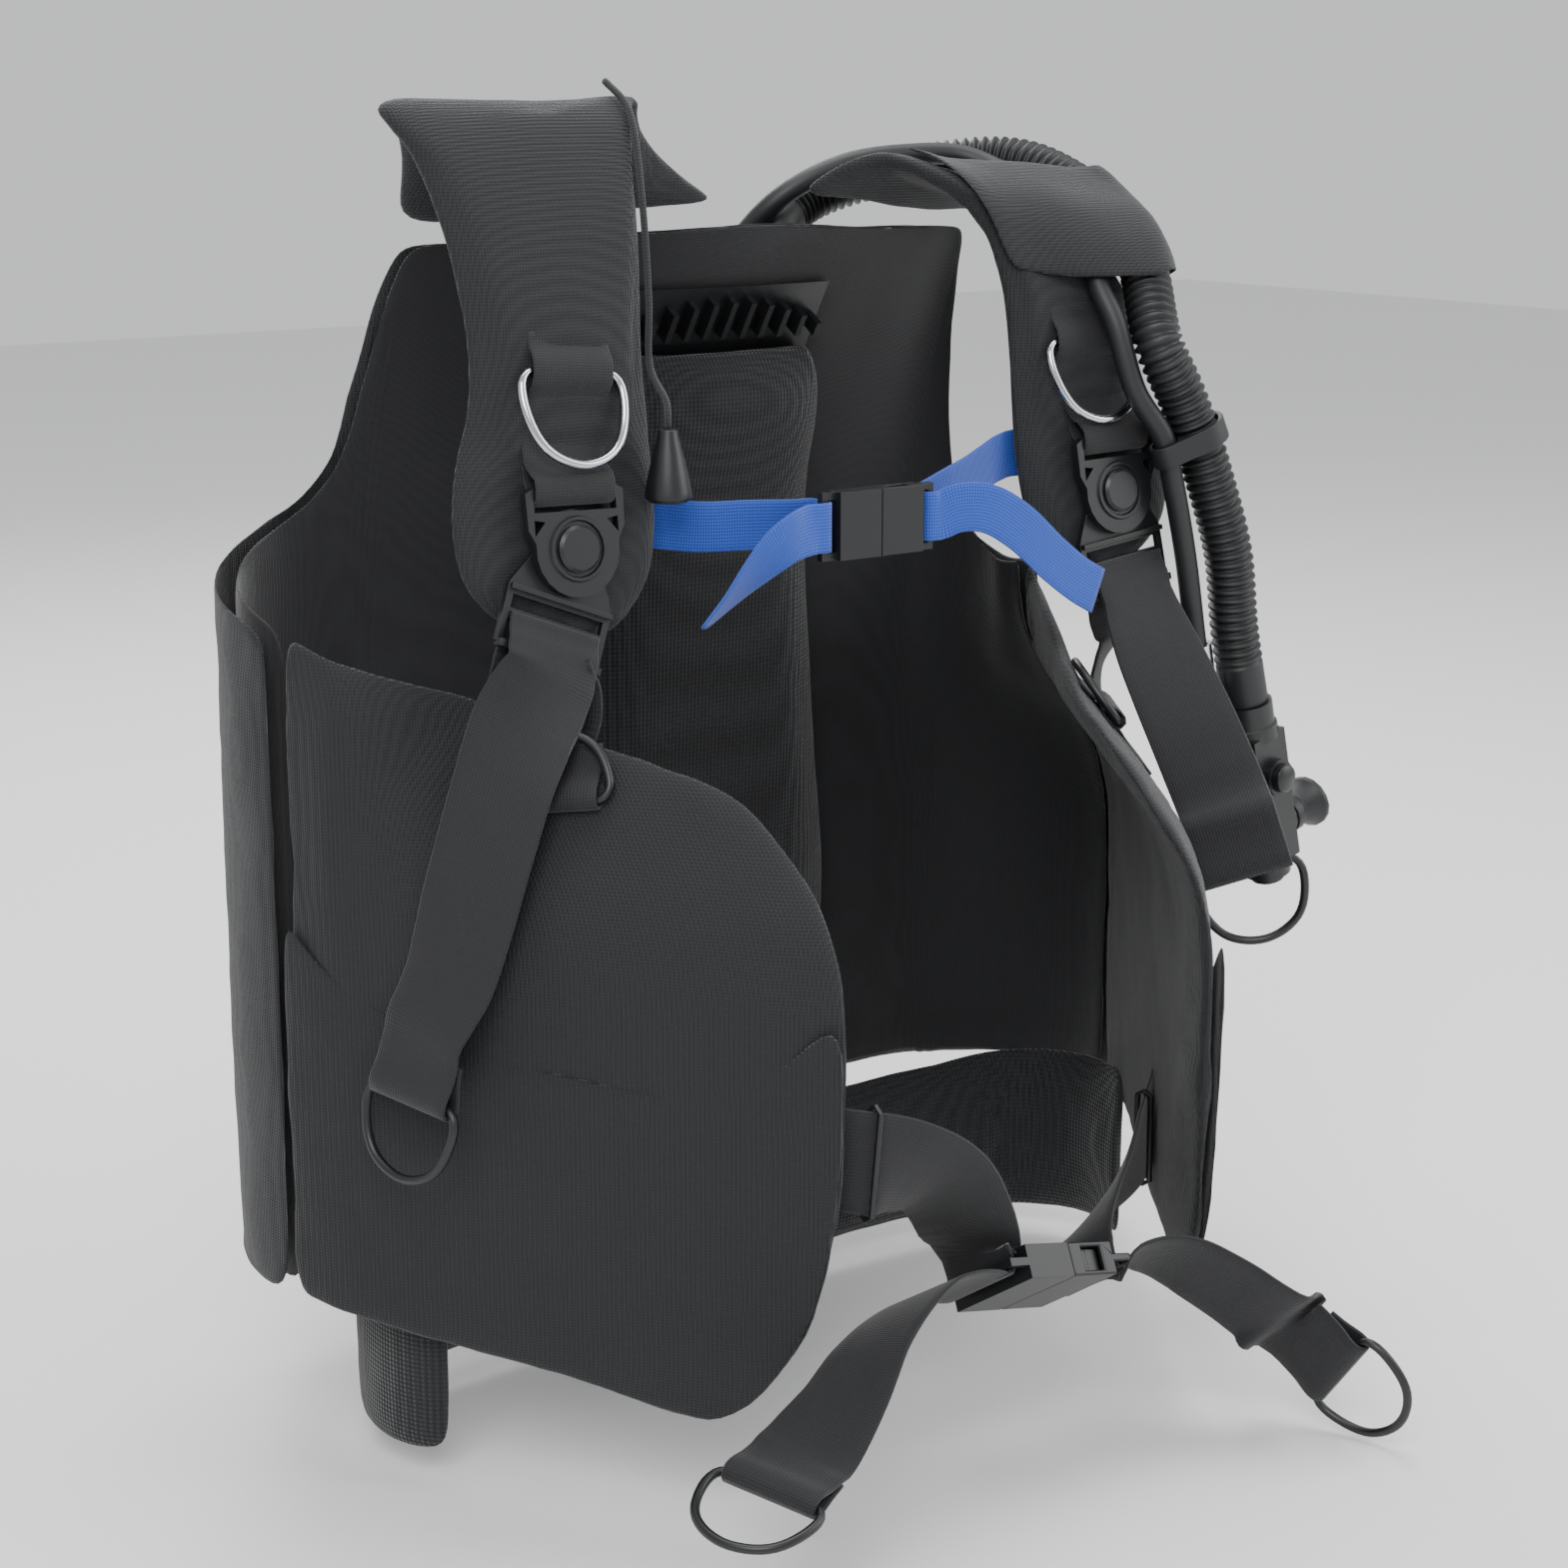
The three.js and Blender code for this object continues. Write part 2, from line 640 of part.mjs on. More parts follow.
// Webbing that comes from +y in front of a ring's bar, folds round it and ends behind itself.
function foldRound(matrix, hug = HUG) {
  const d = 0.72 * hug;
  return [
    [0.2, 32], [0.6, 20], [2, 11], [hug - 0.5, 4.5], [hug, 0], [d, -d], [0, -hug], [-d, -d],
    [-hug, 0], [-hug + 0.4, 4.5], [-2.9, 11], [-2.2, 20],
  ].map(([h, y]) => stop(matrix, h, y));
}

const INSIDE = PANEL_T + GAP + WEB_T / 2; // depth of the middle of webbing sewn inside a panel
const OUTSIDE = PANEL_OUT - GAP - WEB_T / 2;
const ANCHOR_SEWN = {
  right: (lift) => [
    spot(overWing("right", 85, -58 - lift, -268), [0.85, -0.45, -0.2]),
    spot(overWing("right", 85, -60 - lift, -282), [0.7, -0.7, -0.05]),
    ...[[-294, 1.5], [-308, 0], [-326, 0]].map(([z, rise]) =>
      spot(onWing("right", 85, z, INSIDE + rise + lift), [0.602, -0.799, 0])
    ),
  ],
  left: (lift) => [
    spot(overWing("left", 62, -28, -276), [0.9, 0.3, 0.2]),
    spot(overWing("left", 54, -38, -302), [0.75, 0.62, 0.1]),
    ...[[-322, -2.5], [-336, 0], [-356, 0]].map(([z, rise]) =>
      spot(onWing("left", 50, z, OUTSIDE + rise - lift), [0.552, 0.834, 0])
    ),
  ],
};
const TAIL = {
  right: {
    path: [
      [86, -27, -278], [80, -14, -304], [75, -5, -329], [70, 2, -353], [59, 8, -395],
    ].map(([t, rise, z]) => overWing("right", t, rise, z)),
    across: [[0.8, -0.55, -0.2], [0.65, -0.76, 0], [0.6, -0.8, 0], [0.56, -0.83, 0], [0.4, -0.9, -0.05]],
    end: V(-270, -75, -450),
    endAcross: [0.264, -0.965, -0.1],
    down: [-0.23, 0.22, -0.95],
  },
  left: {
    path: [V(178, -99, -287), V(182, -120, -322), V(185.5, -141, -358)],
    across: [[0.85, -0.1, 0.4], [0.8, -0.35, 0.37], [0.75, -0.55, 0.35]],
    end: V(187, -159, -394),
    endAcross: [0.714, -0.625, 0.32],
    down: [0.25, -0.15, -0.95],
  },
};
for (const name of ["right", "left"]) {
  const { frame } = SIDES[name];
  const tail = TAIL[name];
  const ring = ringAt(tail.end, tail.endAcross, tail.down);
  const stops = [
    ...[
      [RIDE, -37], [RIDE + 0.2, -41.5], [RIDE + 3.4, -48.5], [RIDE + 4.1, -53], [RIDE + 5.5, -60],
    ].map(([h, y]) => stop(frame, h, y)),
    ...tail.path.map((p, i) => spot(p, tail.across[i])),
    ...foldRound(ring),
  ];
  add(name + "_shoulder_tail", ribbon(stops, WEB, WEB_T, 2 * (stops.length - 1)), WEBBING);
  add(name + "_pull_ring", dRing(WIRE, ring, PULL_W, PULL_H), PLASTIC);

  // The anchor comes up behind the frame's middle bar; its other end is sewn to the front panel.
  const behind = [[-RIDE, -37], [-RIDE, -43], [-RIDE - 0.8, -51], [-RIDE - 1.6, -58]].map(([h, y]) =>
    stop(frame, h, y)
  );
  const anchor = (lift) => {
    const stops = [...behind, ...ANCHOR_SEWN[name](lift)];
    return ribbon(stops, WEB, WEB_T, 2 * (stops.length - 1));
  };
  add(name + "_shoulder_anchor", fit(anchor, [shapeOf(name + "_front_panel")]), WEBBING);
}

// ---- pocket rings: the bar lies low in a sewn tab, the bow lies up against the panel -----------
const TAB_T = 109; // middle of the tab, past the corner
const TAB_Z = -312; // height of the ring's bar
const TAB_RING_H = 34;
for (const name of ["right", "left"]) {
  const hug = WIRE / 2 + GAP + STRIP_T / 2 + 0.3;
  const low = hug + STRIP_T / 2; // the tab's back lies this far under the bar
  const [foot, head] = [TAB_Z - 6, TAB_Z + 27].map((z) => onWing(name, TAB_T, z, PANEL_OUT));
  const across = onWing(name, TAB_T + 5, TAB_Z, 0).sub(onWing(name, TAB_T - 5, TAB_Z, 0));
  const out = V().crossVectors(across, head.clone().sub(foot)).multiplyScalar(-SIDES[name].s);
  const seat = (lift) => {
    const bar = foot.clone().lerp(head, 0.2).addScaledVector(out.clone().normalize(), low + GAP + lift);
    return frameAt(bar, out, foot.clone().sub(head));
  };
  const tab = (matrix) => {
    const stops = [
      [-low + 0.7, -28], [-low + 1.1, -21], [-low + 3.2, -13], [hug - 0.9, -5.5], [hug, 0],
      [0.7 * hug, 0.75 * hug], [0, hug + 0.1], [-0.72 * hug, 0.72 * hug], [-hug, 0], [-hug, -8],
    ].map(([h, y]) => stop(matrix, h, y));
    return ribbon(stops, CHEST_WEB, STRIP_T, 2 * (stops.length - 1));
  };
  const ring = (matrix) => dRing(WIRE, matrix, RING_W, TAB_RING_H);
  const panel = shapeOf(name + "_front_panel");
  let at = 0;
  fit((lift) => join(tab(seat((at = lift))), ring(seat(lift))), [panel]);
  const matrix = seat(at);
  add(name + "_pocket_ring", ring(matrix), PLASTIC);
  add(name + "_pocket_ring_tab", tab(matrix), WEBBING);
}

// ---- side release buckles -----------------------------------------------------------------------
// Local x runs from the male to the female half, y across the webbing, z out of the buckle's face.
function buckle(web, length) {
  const half = web / 2 + 4.5;
  const bar = 3 + 0.02 * web;
  const slot = 3 + 0.09 * web;
  const long = length / 2;
  const body = long - bar - slot;
  const thick = 5 + 0.24 * web;
  const wall = 2.5;
  const rail = 4;
  const end = (k) => {
    const loop = box(long - body + 1, 2 * half, rail, (k * (long + body - 1)) / 2);
    return cut(loop, box(slot, web + 1.6, 2 * rail, k * (body + slot / 2)));
  };
  const cavity = box(body - 3, 2 * (half - 3), thick - 2 * wall, (body - 7) / 2);
  const windows = [-1, 1].map((k) =>
    box(body * 0.45, 8, thick - 2 * wall, body * 0.5, k * half)
  );
  const female = cut(join(box(body, 2 * half, thick, body / 2), end(1)), cavity, ...windows);
  const reach = body * 0.7;
  const depth = thick - 2 * wall - 1.2;
  const arms = [-1, 1].map((k) => box(reach + 2, 4.4, depth, (reach - 2) / 2, k * (half - 6)));
  const tips = [-1, 1].map((k) => box(body * 0.25, 6.4, depth, reach - body * 0.12, k * (half - 6.8)));
  const guide = box(reach, 0.12 * web + 2, depth, reach / 2 - 2.5);
  const male = join(box(body - 0.6, 2 * half, thick, -(body + 0.6) / 2), end(-1), ...arms, ...tips, guide);
  // Stops of webbing that enters the slot from behind and lies over the bar, k = -1 or 1.
  const inner = long - bar;
  const stopsOf = (table) => (matrix, k, lift = 0) =>
    table.map(([x, h]) => ({
      at: V(k * (inner + x), 0, h + lift * sign(h)).applyMatrix4(matrix).toArray(),
      across: V().setFromMatrixColumn(matrix, 1).toArray(),
    }));
  const enter = stopsOf([[-1, -14], [-1.8, -8], [-2.1, -3.6]]);
  const over = stopsOf([[-2.2, -1.8], [-1.8, 1.8], [-0.2, 3.8], [3, 4.1], [7, 3.9]]);
  return { male, female, enter, over };
}

function frameOf(origin, along, out) {
  const x = V(...along).normalize();
  const z = V(...out);
  z.addScaledVector(x, -x.dot(z)).normalize();
  return new THREE.Matrix4().makeBasis(x, V().crossVectors(z, x), z).setPosition(origin);
}

function addBuckle(label, parts, matrix) {
  add(label + "_male", place(parts.male, matrix), PLASTIC);
  add(label + "_female", place(parts.female, matrix), PLASTIC);
}

const UP = [0, 0, 1];
const sternum = buckle(STERNUM_WEB, 70);
const sternumAt = frameOf(V(-5, -85, -200), [1, 0, 0], [0, -1, 0]);
addBuckle("sternum", sternum, sternumAt);
const behindStrap = (name, k, lift) =>
  [0.14, 0.03].map((u) => spot(onStrap(name, u, k, -(STRAP + GAP + STERNUM_T / 2) - lift), UP));
const sternumRight = (lift) => [
  ...behindStrap("right", 10.25, lift),
  spot([-92, -54, -199], UP),
  spot([-66, -65, -199], UP),
  spot([-44, -70, -200], UP),
  ...sternum.enter(sternumAt, -1),
];
add(
  "sternum_strap_right",
  fit((lift) => ribbon(sternumRight(lift), STERNUM_WEB, STERNUM_T, 22), [shapeOf("right_shoulder_strap")]),
  BLUE
);
const sternumTailRight = [
  ...sternum.over(sternumAt, -1),
  spot([-50, -90, -200], [0, 0.1, 1]),
  spot([-66, -95, -203], [-0.05, -0.1, 1]),
  spot([-81, -92, -215], [-0.4, -0.4, 0.75]),
  spot([-95, -86, -231], [-0.6, -0.7, 0.4]),
  spot([-106, -80, -244], [-0.57, -0.79, 0.23]),
];
add("sternum_tail_right", ribbon(sternumTailRight, STERNUM_WEB, STERNUM_T, 22), BLUE);
const sternumLeft = (lift) => [
  ...behindStrap("left", 9.75, lift),
  spot([78, -55, -189], UP),
  spot([56, -64, -193], UP),
  spot([35, -70, -198], UP),
  ...sternum.enter(sternumAt, 1),
  ...sternum.over(sternumAt, 1),
  spot([42, -91, -197], [0, 0, 1]),
  spot([59, -95, -198], [0.1, 0, 1]),
  spot([79, -97, -209], [0.3, 0, 0.9]),
  spot([100, -97, -226], [0.5, 0.05, 0.8]),
  spot([120, -96, -240], [0.6, 0.1, 0.75]),
  spot([135, -95, -248], [0.5, 0.1, 0.8]),
];
add(
  "sternum_strap_left",
  fit((lift) => ribbon(sternumLeft(lift), STERNUM_WEB, STERNUM_T, 44), [shapeOf("left_shoulder_strap")]),
  BLUE
);

const waist = buckle(WEB, 80);
const waistAt = frameOf(V(2, -208, -563), [0.98, 0, -0.2], [-0.115, -0.571, -0.81]);
addBuckle("waist", waist, waistAt);
const waistRight = (lift) => [
  spot(onWing("right", 208, -470, INSIDE + lift), UP),
  spot(onWing("right", 226, -470, INSIDE + lift), UP),
  spot(onWing("right", 240, -471, INSIDE + 1 + lift), UP),
  spot([-112, -223, -474], [0.1, 0, 1]),
  spot([-90, -224, -481], [0.25, -0.3, 0.9]),
  spot([-66, -219, -495], [0.4, -0.6, 0.75]),
  spot([-46, -210, -519], [0.35, -0.75, 0.6]),
  ...waist.enter(waistAt, -1),
];
add(
  "waist_strap_right",
  fit((lift) => ribbon(waistRight(lift), WEB, WEB_T, 27), [shapeOf("right_front_panel")]),
  WEBBING
);
const waistRingRight = ringAt(V(-192, -256, -601), [0.373, -0.917, -0.121], [-0.897, -0.383, -0.231]);
const waistTailRight = [
  ...waist.over(waistAt, -1),
  spot([-52, -213, -553], [0.08, -0.82, 0.57]),
  spot([-74, -218, -549], [0.1, -0.84, 0.54]),
  spot([-98, -226, -552], [0.15, -0.88, 0.45]),
  spot([-120, -233, -562], [0.22, -0.9, 0.35]),
  spot([-138, -239, -577], [0.3, -0.92, 0.2]),
  ...foldRound(waistRingRight),
];
add("waist_tail_right", ribbon(waistTailRight, WEB, WEB_T, 42), WEBBING);
add("right_waist_ring", dRing(WIRE, waistRingRight, PULL_W, PULL_H), PLASTIC);

const waistRingLeft = ringAt(V(146, -279, -624), [-0.003, -0.6, 0.796], [0.345, -0.749, -0.561]);
const waistLeft = (lift) => [
  spot(onWing("left", 88, -531, INSIDE + lift), UP),
  spot(onWing("left", 108, -531, INSIDE + lift), UP),
  spot(onWing("left", 126, -532, INSIDE + 0.5 + lift), UP),
  spot([144, -137, -535], [-0.05, 0, 1]),
  spot([120, -154, -539], [-0.1, -0.15, 0.95]),
  spot([88, -173, -544], [-0.1, -0.45, 0.85]),
  spot([56, -190, -550], [0, -0.7, 0.7]),
  ...waist.enter(waistAt, 1),
  ...waist.over(waistAt, 1),
  spot([58, -215, -565], [0.05, -0.82, 0.57]),
  spot([76, -226, -565], [0.05, -0.8, 0.6]),
  spot([96, -243, -578], [0.04, -0.7, 0.7]),
  spot([118, -259, -597], [0.02, -0.64, 0.77]),
  ...foldRound(waistRingLeft),
];
add(
  "waist_strap_left",
  fit((lift) => ribbon(waistLeft(lift), WEB, WEB_T, 68), [shapeOf("left_front_panel")]),
  WEBBING
);
add("left_waist_ring", dRing(WIRE, waistRingLeft, PULL_W, PULL_H), PLASTIC);

// Moulded keepers round the waist webbing where it leaves the panels.
const KEEPER_WIRE = 3.4;
function keeper(origin, travel, across) {
  const x = V(...across).normalize();
  const z = V(...travel);
  z.addScaledVector(x, -x.dot(z)).normalize();
  const matrix = new THREE.Matrix4().makeBasis(x, V().crossVectors(z, x), z).setPosition(origin);
  const half = WEB / 2 + KEEPER_WIRE / 2 + 0.8;
  const rise = WEB_T / 2 + KEEPER_WIRE / 2 + 0.9;
  const outline = [
    [half, 0], [half - 0.5, rise - 0.3], [half - 4, rise], [0, rise], [4 - half, rise],
    [0.5 - half, rise - 0.3], [-half, 0], [0.5 - half, 0.3 - rise], [4 - half, -rise], [0, -rise],
    [half - 4, -rise], [half - 0.5, 0.3 - rise],
  ];
  return wireRing(outline, KEEPER_WIRE, at(matrix), 24, 6);
}
add("right_waist_loop", keeper(V(-112, -223, -474), [0.95, 0.02, -0.2], [0.1, 0, 1]), PLASTIC);
add("left_waist_loop", keeper(V(132, -145.5, -537), [-0.82, -0.57, -0.13], [-0.08, -0.08, 1]), PLASTIC);

// ---- lumbar pad ---------------------------------------------------------------------------------
const LUMBAR_T = 14;
const lumbarPlan = (lift) =>
  new THREE.CatmullRomCurve3([
    onWing("right", 46, -590, PANEL_T + GAP + lift),
    onWing("right", 18, -590, PANEL_T + GAP + lift),
    V(-258 + lift, 18, 0),
    V(-232, 46, 0),
    V(-165, 60, 0),
    V(0, 66, 0),
    V(150, 62, 0),
    V(200, 46, 0),
    V(228 - lift, 14, 0),
    onWing("left", 8, -590, PANEL_T + GAP + lift),
    onWing("left", 34, -590, PANEL_T + GAP + lift),
  ].map((p) => p.setZ(0)));

function lumbar(lift) {
  const plan = lumbarPlan(lift);
  return bentBlock(28, 4, (u, v, w) => {
    const middle = 1 - (2 * u - 1) ** 2;
    const z = mix(-648 - 6 * middle, -545 - 10 * middle, v);
    const along = plan.getTangentAt(u);
    const edge = 1 - (2 * v - 1) ** 2;
    const thick = LUMBAR_T * mix(0.55, 1, edge) * mix(0.7, 1, min(1, 6 * u, 6 - 6 * u));
    return plan.getPointAt(u).add(V(along.y, -along.x, 0).multiplyScalar(w * thick)).setZ(z);
  });
}
add("lumbar_pad", fit(lumbar, [shapeOf("right_front_panel"), shapeOf("left_front_panel")]), CLOTH);

// ---- backpack: a moulded plate with fins and its pad, flush with the flat of the lining ---------
const STAND = 4.2; // the plate stands off where the back curves
const SPINE_ROWS = [-540, -505, -440, -385, -330, -290, -250, -215, -185, -155, -122, -92];
const behindPlate = (x, z) =>
  torso(SIDES[x < 0 ? "right" : "left"], abs(x), z, BACK_T + GAP).y - STAND * ease(z, -380, -330);

function spinal(columns, rows, depth) {
  return bentBlock(columns.length - 1, rows.length - 1, (u, v, w) => {
    const z = rows[Math.round(v * (rows.length - 1))];
    const i = Math.round(u * (columns.length - 1));
    const x = typeof columns[i] === "function" ? columns[i](z) : columns[i];
    return V(x, behindPlate(x, z) - depth(w, x, z), z);
  });
}
const PLATE_X = 66;
const plateRows = SPINE_ROWS.slice(1);
const slab = spinal([-PLATE_X, -33, 0, 33, PLATE_X], plateRows, (w) => PLATE_T * w);
const fins = Array.from({ length: FIN_COUNT }, (_, i) => {
  const x = mix(-60, 60, i / (FIN_COUNT - 1));
  const top = -96 - 0.0042 * x * x;
  const height = top + 119;
  const fin = box(3.4, 11, height).rotateX(0.57);
  return fin.translate(x, behindPlate(x, -110) - PLATE_T - 4.1, (top - 119) / 2);
});
add("back_plate", join(slab, ...fins), PLASTIC);

const padHalf = through([
  [-540, 84], [-505, 104], [-440, 110], [-385, 104], [-290, 92], [-215, 84], [-155, 80], [-122, 62],
]);
const padRows = SPINE_ROWS.slice(0, -1);
const padColumns = [(z) => -padHalf(z), -PLATE_X, -33, 0, 33, PLATE_X, (z) => padHalf(z)].map((c) =>
  c === -PLATE_X || c === PLATE_X ? (z) => sign(c) * min(PLATE_X, padHalf(z) - 8) : c
);
add(
  "back_pad",
  spinal(padColumns, padRows, (w, x, z) => {
    const side = min(1, (padHalf(z) - abs(x)) / 24);
    const ends = min(1, (z + 540) / 50, (-122 - z) / 34);
    const thick = mix(PAD_T, mix(PAD_T, 34, max(0, ends)), side);
    return PLATE_T + GAP + thick * w;
  }),
  FOAM
);

// ---- tank band with its cam buckle, on the rear -------------------------------------------------
const BAND_Z = -425;
const BAND_HALF = 98;
const BAND_DEEP = 46;
const rounded = (halfX, halfY, r) => [
  ...arcPoints(halfX - r, halfY - r, r, 0, PI / 2, 4),
  ...arcPoints(r - halfX, halfY - r, r, PI / 2, PI, 4),
  ...arcPoints(r - halfX, r - halfY, r, PI, 1.5 * PI, 4),
  ...arcPoints(halfX - r, r - halfY, r, 1.5 * PI, 2 * PI, 4),
];
const bandY = BACK_Y + GAP + BAND_DEEP / 2;
const bandOuter = rounded(BAND_HALF, BAND_DEEP / 2, 21);
const bandInner = rounded(BAND_HALF - BAND_T, BAND_DEEP / 2 - BAND_T, 21 - BAND_T);
add("tank_band", plate(bandOuter, [bandInner], WEB).translate(0, bandY, BAND_Z), WEBBING);

const camY = BACK_Y + GAP + BAND_DEEP - BAND_T / 2; // middle of the band's rear run
const HINGE_X = 22;
const hingeY = camY + 11.5;
const camBody = cut(
  join(
    box(62, 10, 60, 0, camY + 1, BAND_Z),
    ...[-1, 1].map((k) => box(13, 11, 4, HINGE_X, camY + 10, BAND_Z + k * 28))
  ),
  box(70, BAND_T + 2 * GAP + 0.2, WEB + 1, 0, camY, BAND_Z)
);
const pin = new THREE.CylinderGeometry(2.4, 2.4, 58, 12).rotateX(PI / 2);
add("cam_buckle", join(camBody, pin.translate(HINGE_X, hingeY, BAND_Z)), PLASTIC);
const barrel = new THREE.CylinderGeometry(4.6, 4.6, 50, 14).rotateX(PI / 2);
const bore = new THREE.CylinderGeometry(2.8, 2.8, 60, 12).rotateX(PI / 2);
const lever = cut(
  join(barrel.translate(HINGE_X, hingeY, BAND_Z), box(48, 3.6, 46, HINGE_X - 26, hingeY, BAND_Z)),
  bore.translate(HINGE_X, hingeY, BAND_Z)
);
add("cam_lever", lever, PLASTIC);

// ---- elbow, hoses and their sleeve on the left shoulder -----------------------------------------
const elbowNormal = torsoNormal(SIDES.left, 70, -108);
const HOSE_OUT = V(0.06, 0.3, 0.95).normalize();
const elbowMiddle = (lift) =>
  torso(SIDES.left, 70, -108, 0).addScaledVector(elbowNormal, 12 + lift);
function elbow(lift) {
  const seat = frameAt(elbowMiddle(lift).addScaledVector(elbowNormal, -12), elbowNormal, V(0, 0, 1));
  const dome = lathe([[0, 0], [22, 0], [22, 3.5], [17.5, 5.5], [17.5, 17], [13, 23], [0, 25]], 20);
  const port = new THREE.CylinderGeometry(12.5, 12.5, 24, 16).translate(0, 12, 0);
  port.applyQuaternion(new THREE.Quaternion().setFromUnitVectors(V(0, 1, 0), HOSE_OUT));
  const middle = elbowMiddle(lift);
  return join(place(dome, seat), port.translate(middle.x, middle.y, middle.z));
}
let elbowLift = 0;
const elbowShape = fit((lift) => elbow((elbowLift = lift)), [shapeOf("back_shell")]);
add("hose_elbow", elbowShape, PLASTIC);

// The big hose runs over the strap's outer edge, the small one beside it.
const overEdge = (k, aside) => {
  const [u0, u1] = [0.9, 1].map((u) => strapFace("left", u, k));
  const out = strapNormal("left", 0.97, k);
  return u1.clone().addScaledVector(out, HOSE_R + 3).addScaledVector(u1.sub(u0).normalize(), aside);
};
const hoseStart = elbowMiddle(elbowLift).addScaledVector(HOSE_OUT, 24 + GAP);
const CLIP_BIG = [212, -85, -172]; // where the clip holds the two hoses
const CLIP_SMALL = [189, -84, -172];
const hosePath = [
  hoseStart.toArray(),
  hoseStart.clone().addScaledVector(HOSE_OUT, 12).toArray(),
  [96, 112, -52],
  [134, 100, -39],
  [168, 86, -34],
  [192, 64, -31],
  [203, 42, -34],
  ...[[3, 6], [4, 4], [5, 0], [6, -7], [6.8, -13]].map(([k, aside]) => overEdge(k, aside).toArray()),
  [189, -78, -122],
  [202, -83, -150],
  CLIP_BIG,
  [222, -86, -196],
  [237, -87, -238],
  [246, -85, -282],
  [257, -84, -324],
];
add("corrugated_hose", tube(hosePath, HOSE_R, 10, 26), RUBBER);

const LP_LIFT = LP_R + 2.5;
const lpPath = [
  [30, 150, -330],
  [31, 151, -262],
  [36, 150, -190],
  [40, 138, -130],
  [44, 116, -86],
  [60, 92, -52],
  [94, 80, -33],
  [138, 72, -27],
  [166, 60, -28],
  [179, 42, -36],
  ...[[3, 0.88], [4, 0.84], [5, 0.79], [6, 0.68], [6.8, 0.58]].map(([k, u]) =>
    onStrap("left", u, k, LP_LIFT).toArray()
  ),
  [169, -66, -112],
  [176, -76, -148],
  CLIP_SMALL,
  [197, -84, -196],
  [210, -82, -238],
  [221, -80, -284],
  [228, -80, -318],
];
add("lp_hose", tube(lpPath, LP_R, 8, 34), RUBBER);

// The sleeve wraps both hoses and ends sewn along both edges of the strap.
const SLEEVE_FROM = 2.95;
const SLEEVE_TO = 6.8;
const sleeveSection = (k) => {
  const out = strapNormal("left", 0.97, k);
  const along = strapFace("left", 1, k + 0.1).sub(strapFace("left", 1, k - 0.1)).normalize();
  const [u0, u1] = [0.9, 1].map((u) => strapFace("left", u, k));
  const side = u1.clone().sub(u0);
  side.addScaledVector(along, -side.dot(along)).normalize();
  const aside = through([[3, 6], [4, 4], [5, 0], [6, -7], [6.8, -13]])(k);
  const middle = overEdge(k, aside);
  const r = HOSE_R + SLEEVE_T + 2;
  const round = (a, b) => middle.clone().addScaledVector(side, r * a).addScaledVector(out, r * b);
  return new THREE.CatmullRomCurve3([
    onStrap("left", 0.05, k, 0.6 + SLEEVE_T),
    onStrap("left", 0.28, k, 3 + SLEEVE_T),
    onStrap("left", 0.5, k, 13),
    round(-0.75, 0.75),
    round(0, 1.02),
    round(0.75, 0.72),
    round(1.02, 0),
    round(0.8, -0.62),
    u1.addScaledVector(side, 2.2 + max(0, aside * 0.5)).addScaledVector(out, -1),
  ], false, "centripetal");
};
add(
  "hose_sleeve",
  bentBlock(16, 5, (u, v, w) => {
    const curve = sleeveSection(mix(SLEEVE_FROM, SLEEVE_TO, v));
    const along = sleeveSection(mix(SLEEVE_FROM, SLEEVE_TO, v) + 0.05).getPoint(u).sub(curve.getPoint(u));
    const inward = V().crossVectors(along, curve.getTangent(u)).normalize();
    return curve.getPoint(u).addScaledVector(inward, (w - 0.5) * SLEEVE_T);
  }),
  CLOTH
);

// A clip holds the hoses together under the chest ring.
const clipNormal = V(222, -86, -196).sub(V(202, -83, -150)).normalize();
const toSmall = V(...CLIP_SMALL).sub(V(...CLIP_BIG));
const clipAt = frameAt(V(...CLIP_BIG), clipNormal, V().crossVectors(clipNormal, toSmall));
const apart = toSmall.dot(axisX(clipAt));
const clipOutline = [
  ...arcPoints(0, 0, HOSE_R + 3.4, deg(62), deg(298), 14),
  ...arcPoints(apart, 0, LP_R + 3.2, -deg(70), deg(70), 8),
];
const clipBores = [[0, HOSE_R + 0.9], [apart, LP_R + 1.3]].map(([x, r]) => rod(r, 20).translate(x, 0, 0));
add("hose_clip", place(cut(plate(clipOutline, [], 12), ...clipBores), clipAt), RUBBER);

// ---- inflator -----------------------------------------------------------------------------------
// Local y points back up the hose, z to the front.
const hoseEnd = V(...hosePath.at(-1));
const inflatorDown = V(0.235, 0.02, -0.972).normalize();
const inflatorFront = V(0.12, -0.99, 0);
inflatorFront.addScaledVector(inflatorDown, -inflatorDown.dot(inflatorFront));
const inflatorAcross = V().crossVectors(inflatorFront, inflatorDown).toArray();
const inflatorAt = frameOf(hoseEnd, inflatorAcross, inflatorFront.toArray());
const upY = (g) => g.rotateX(-PI / 2); // turns a piece built along z to stand along local y
const collar = upY(lathe([[0, -22], [16.5, -22], [16.5, -14], [15.2, -13], [15.2, -GAP], [0, -GAP]], 20));
const trunk = box(27, 78, 29, 0, -58, 0);
const foot = upY(lathe([[0, -106], [13.6, -106], [13.6, -94], [0, -94]], 20));
const seatOfInflate = lathe([[0, 12], [10.5, 12], [10.5, 19], [0, 19]], 20).translate(0, -44, 0);
const nipple = box(16, 12, 12, -16, -26, 2);
const mouthPort = lathe([[0, 0], [10, 0], [10, 21], [0, 21]], 16).rotateY(PI / 2).translate(0, -80, 0);
const INFLATE_R = 8;
const DEFLATE_R = 9.5;
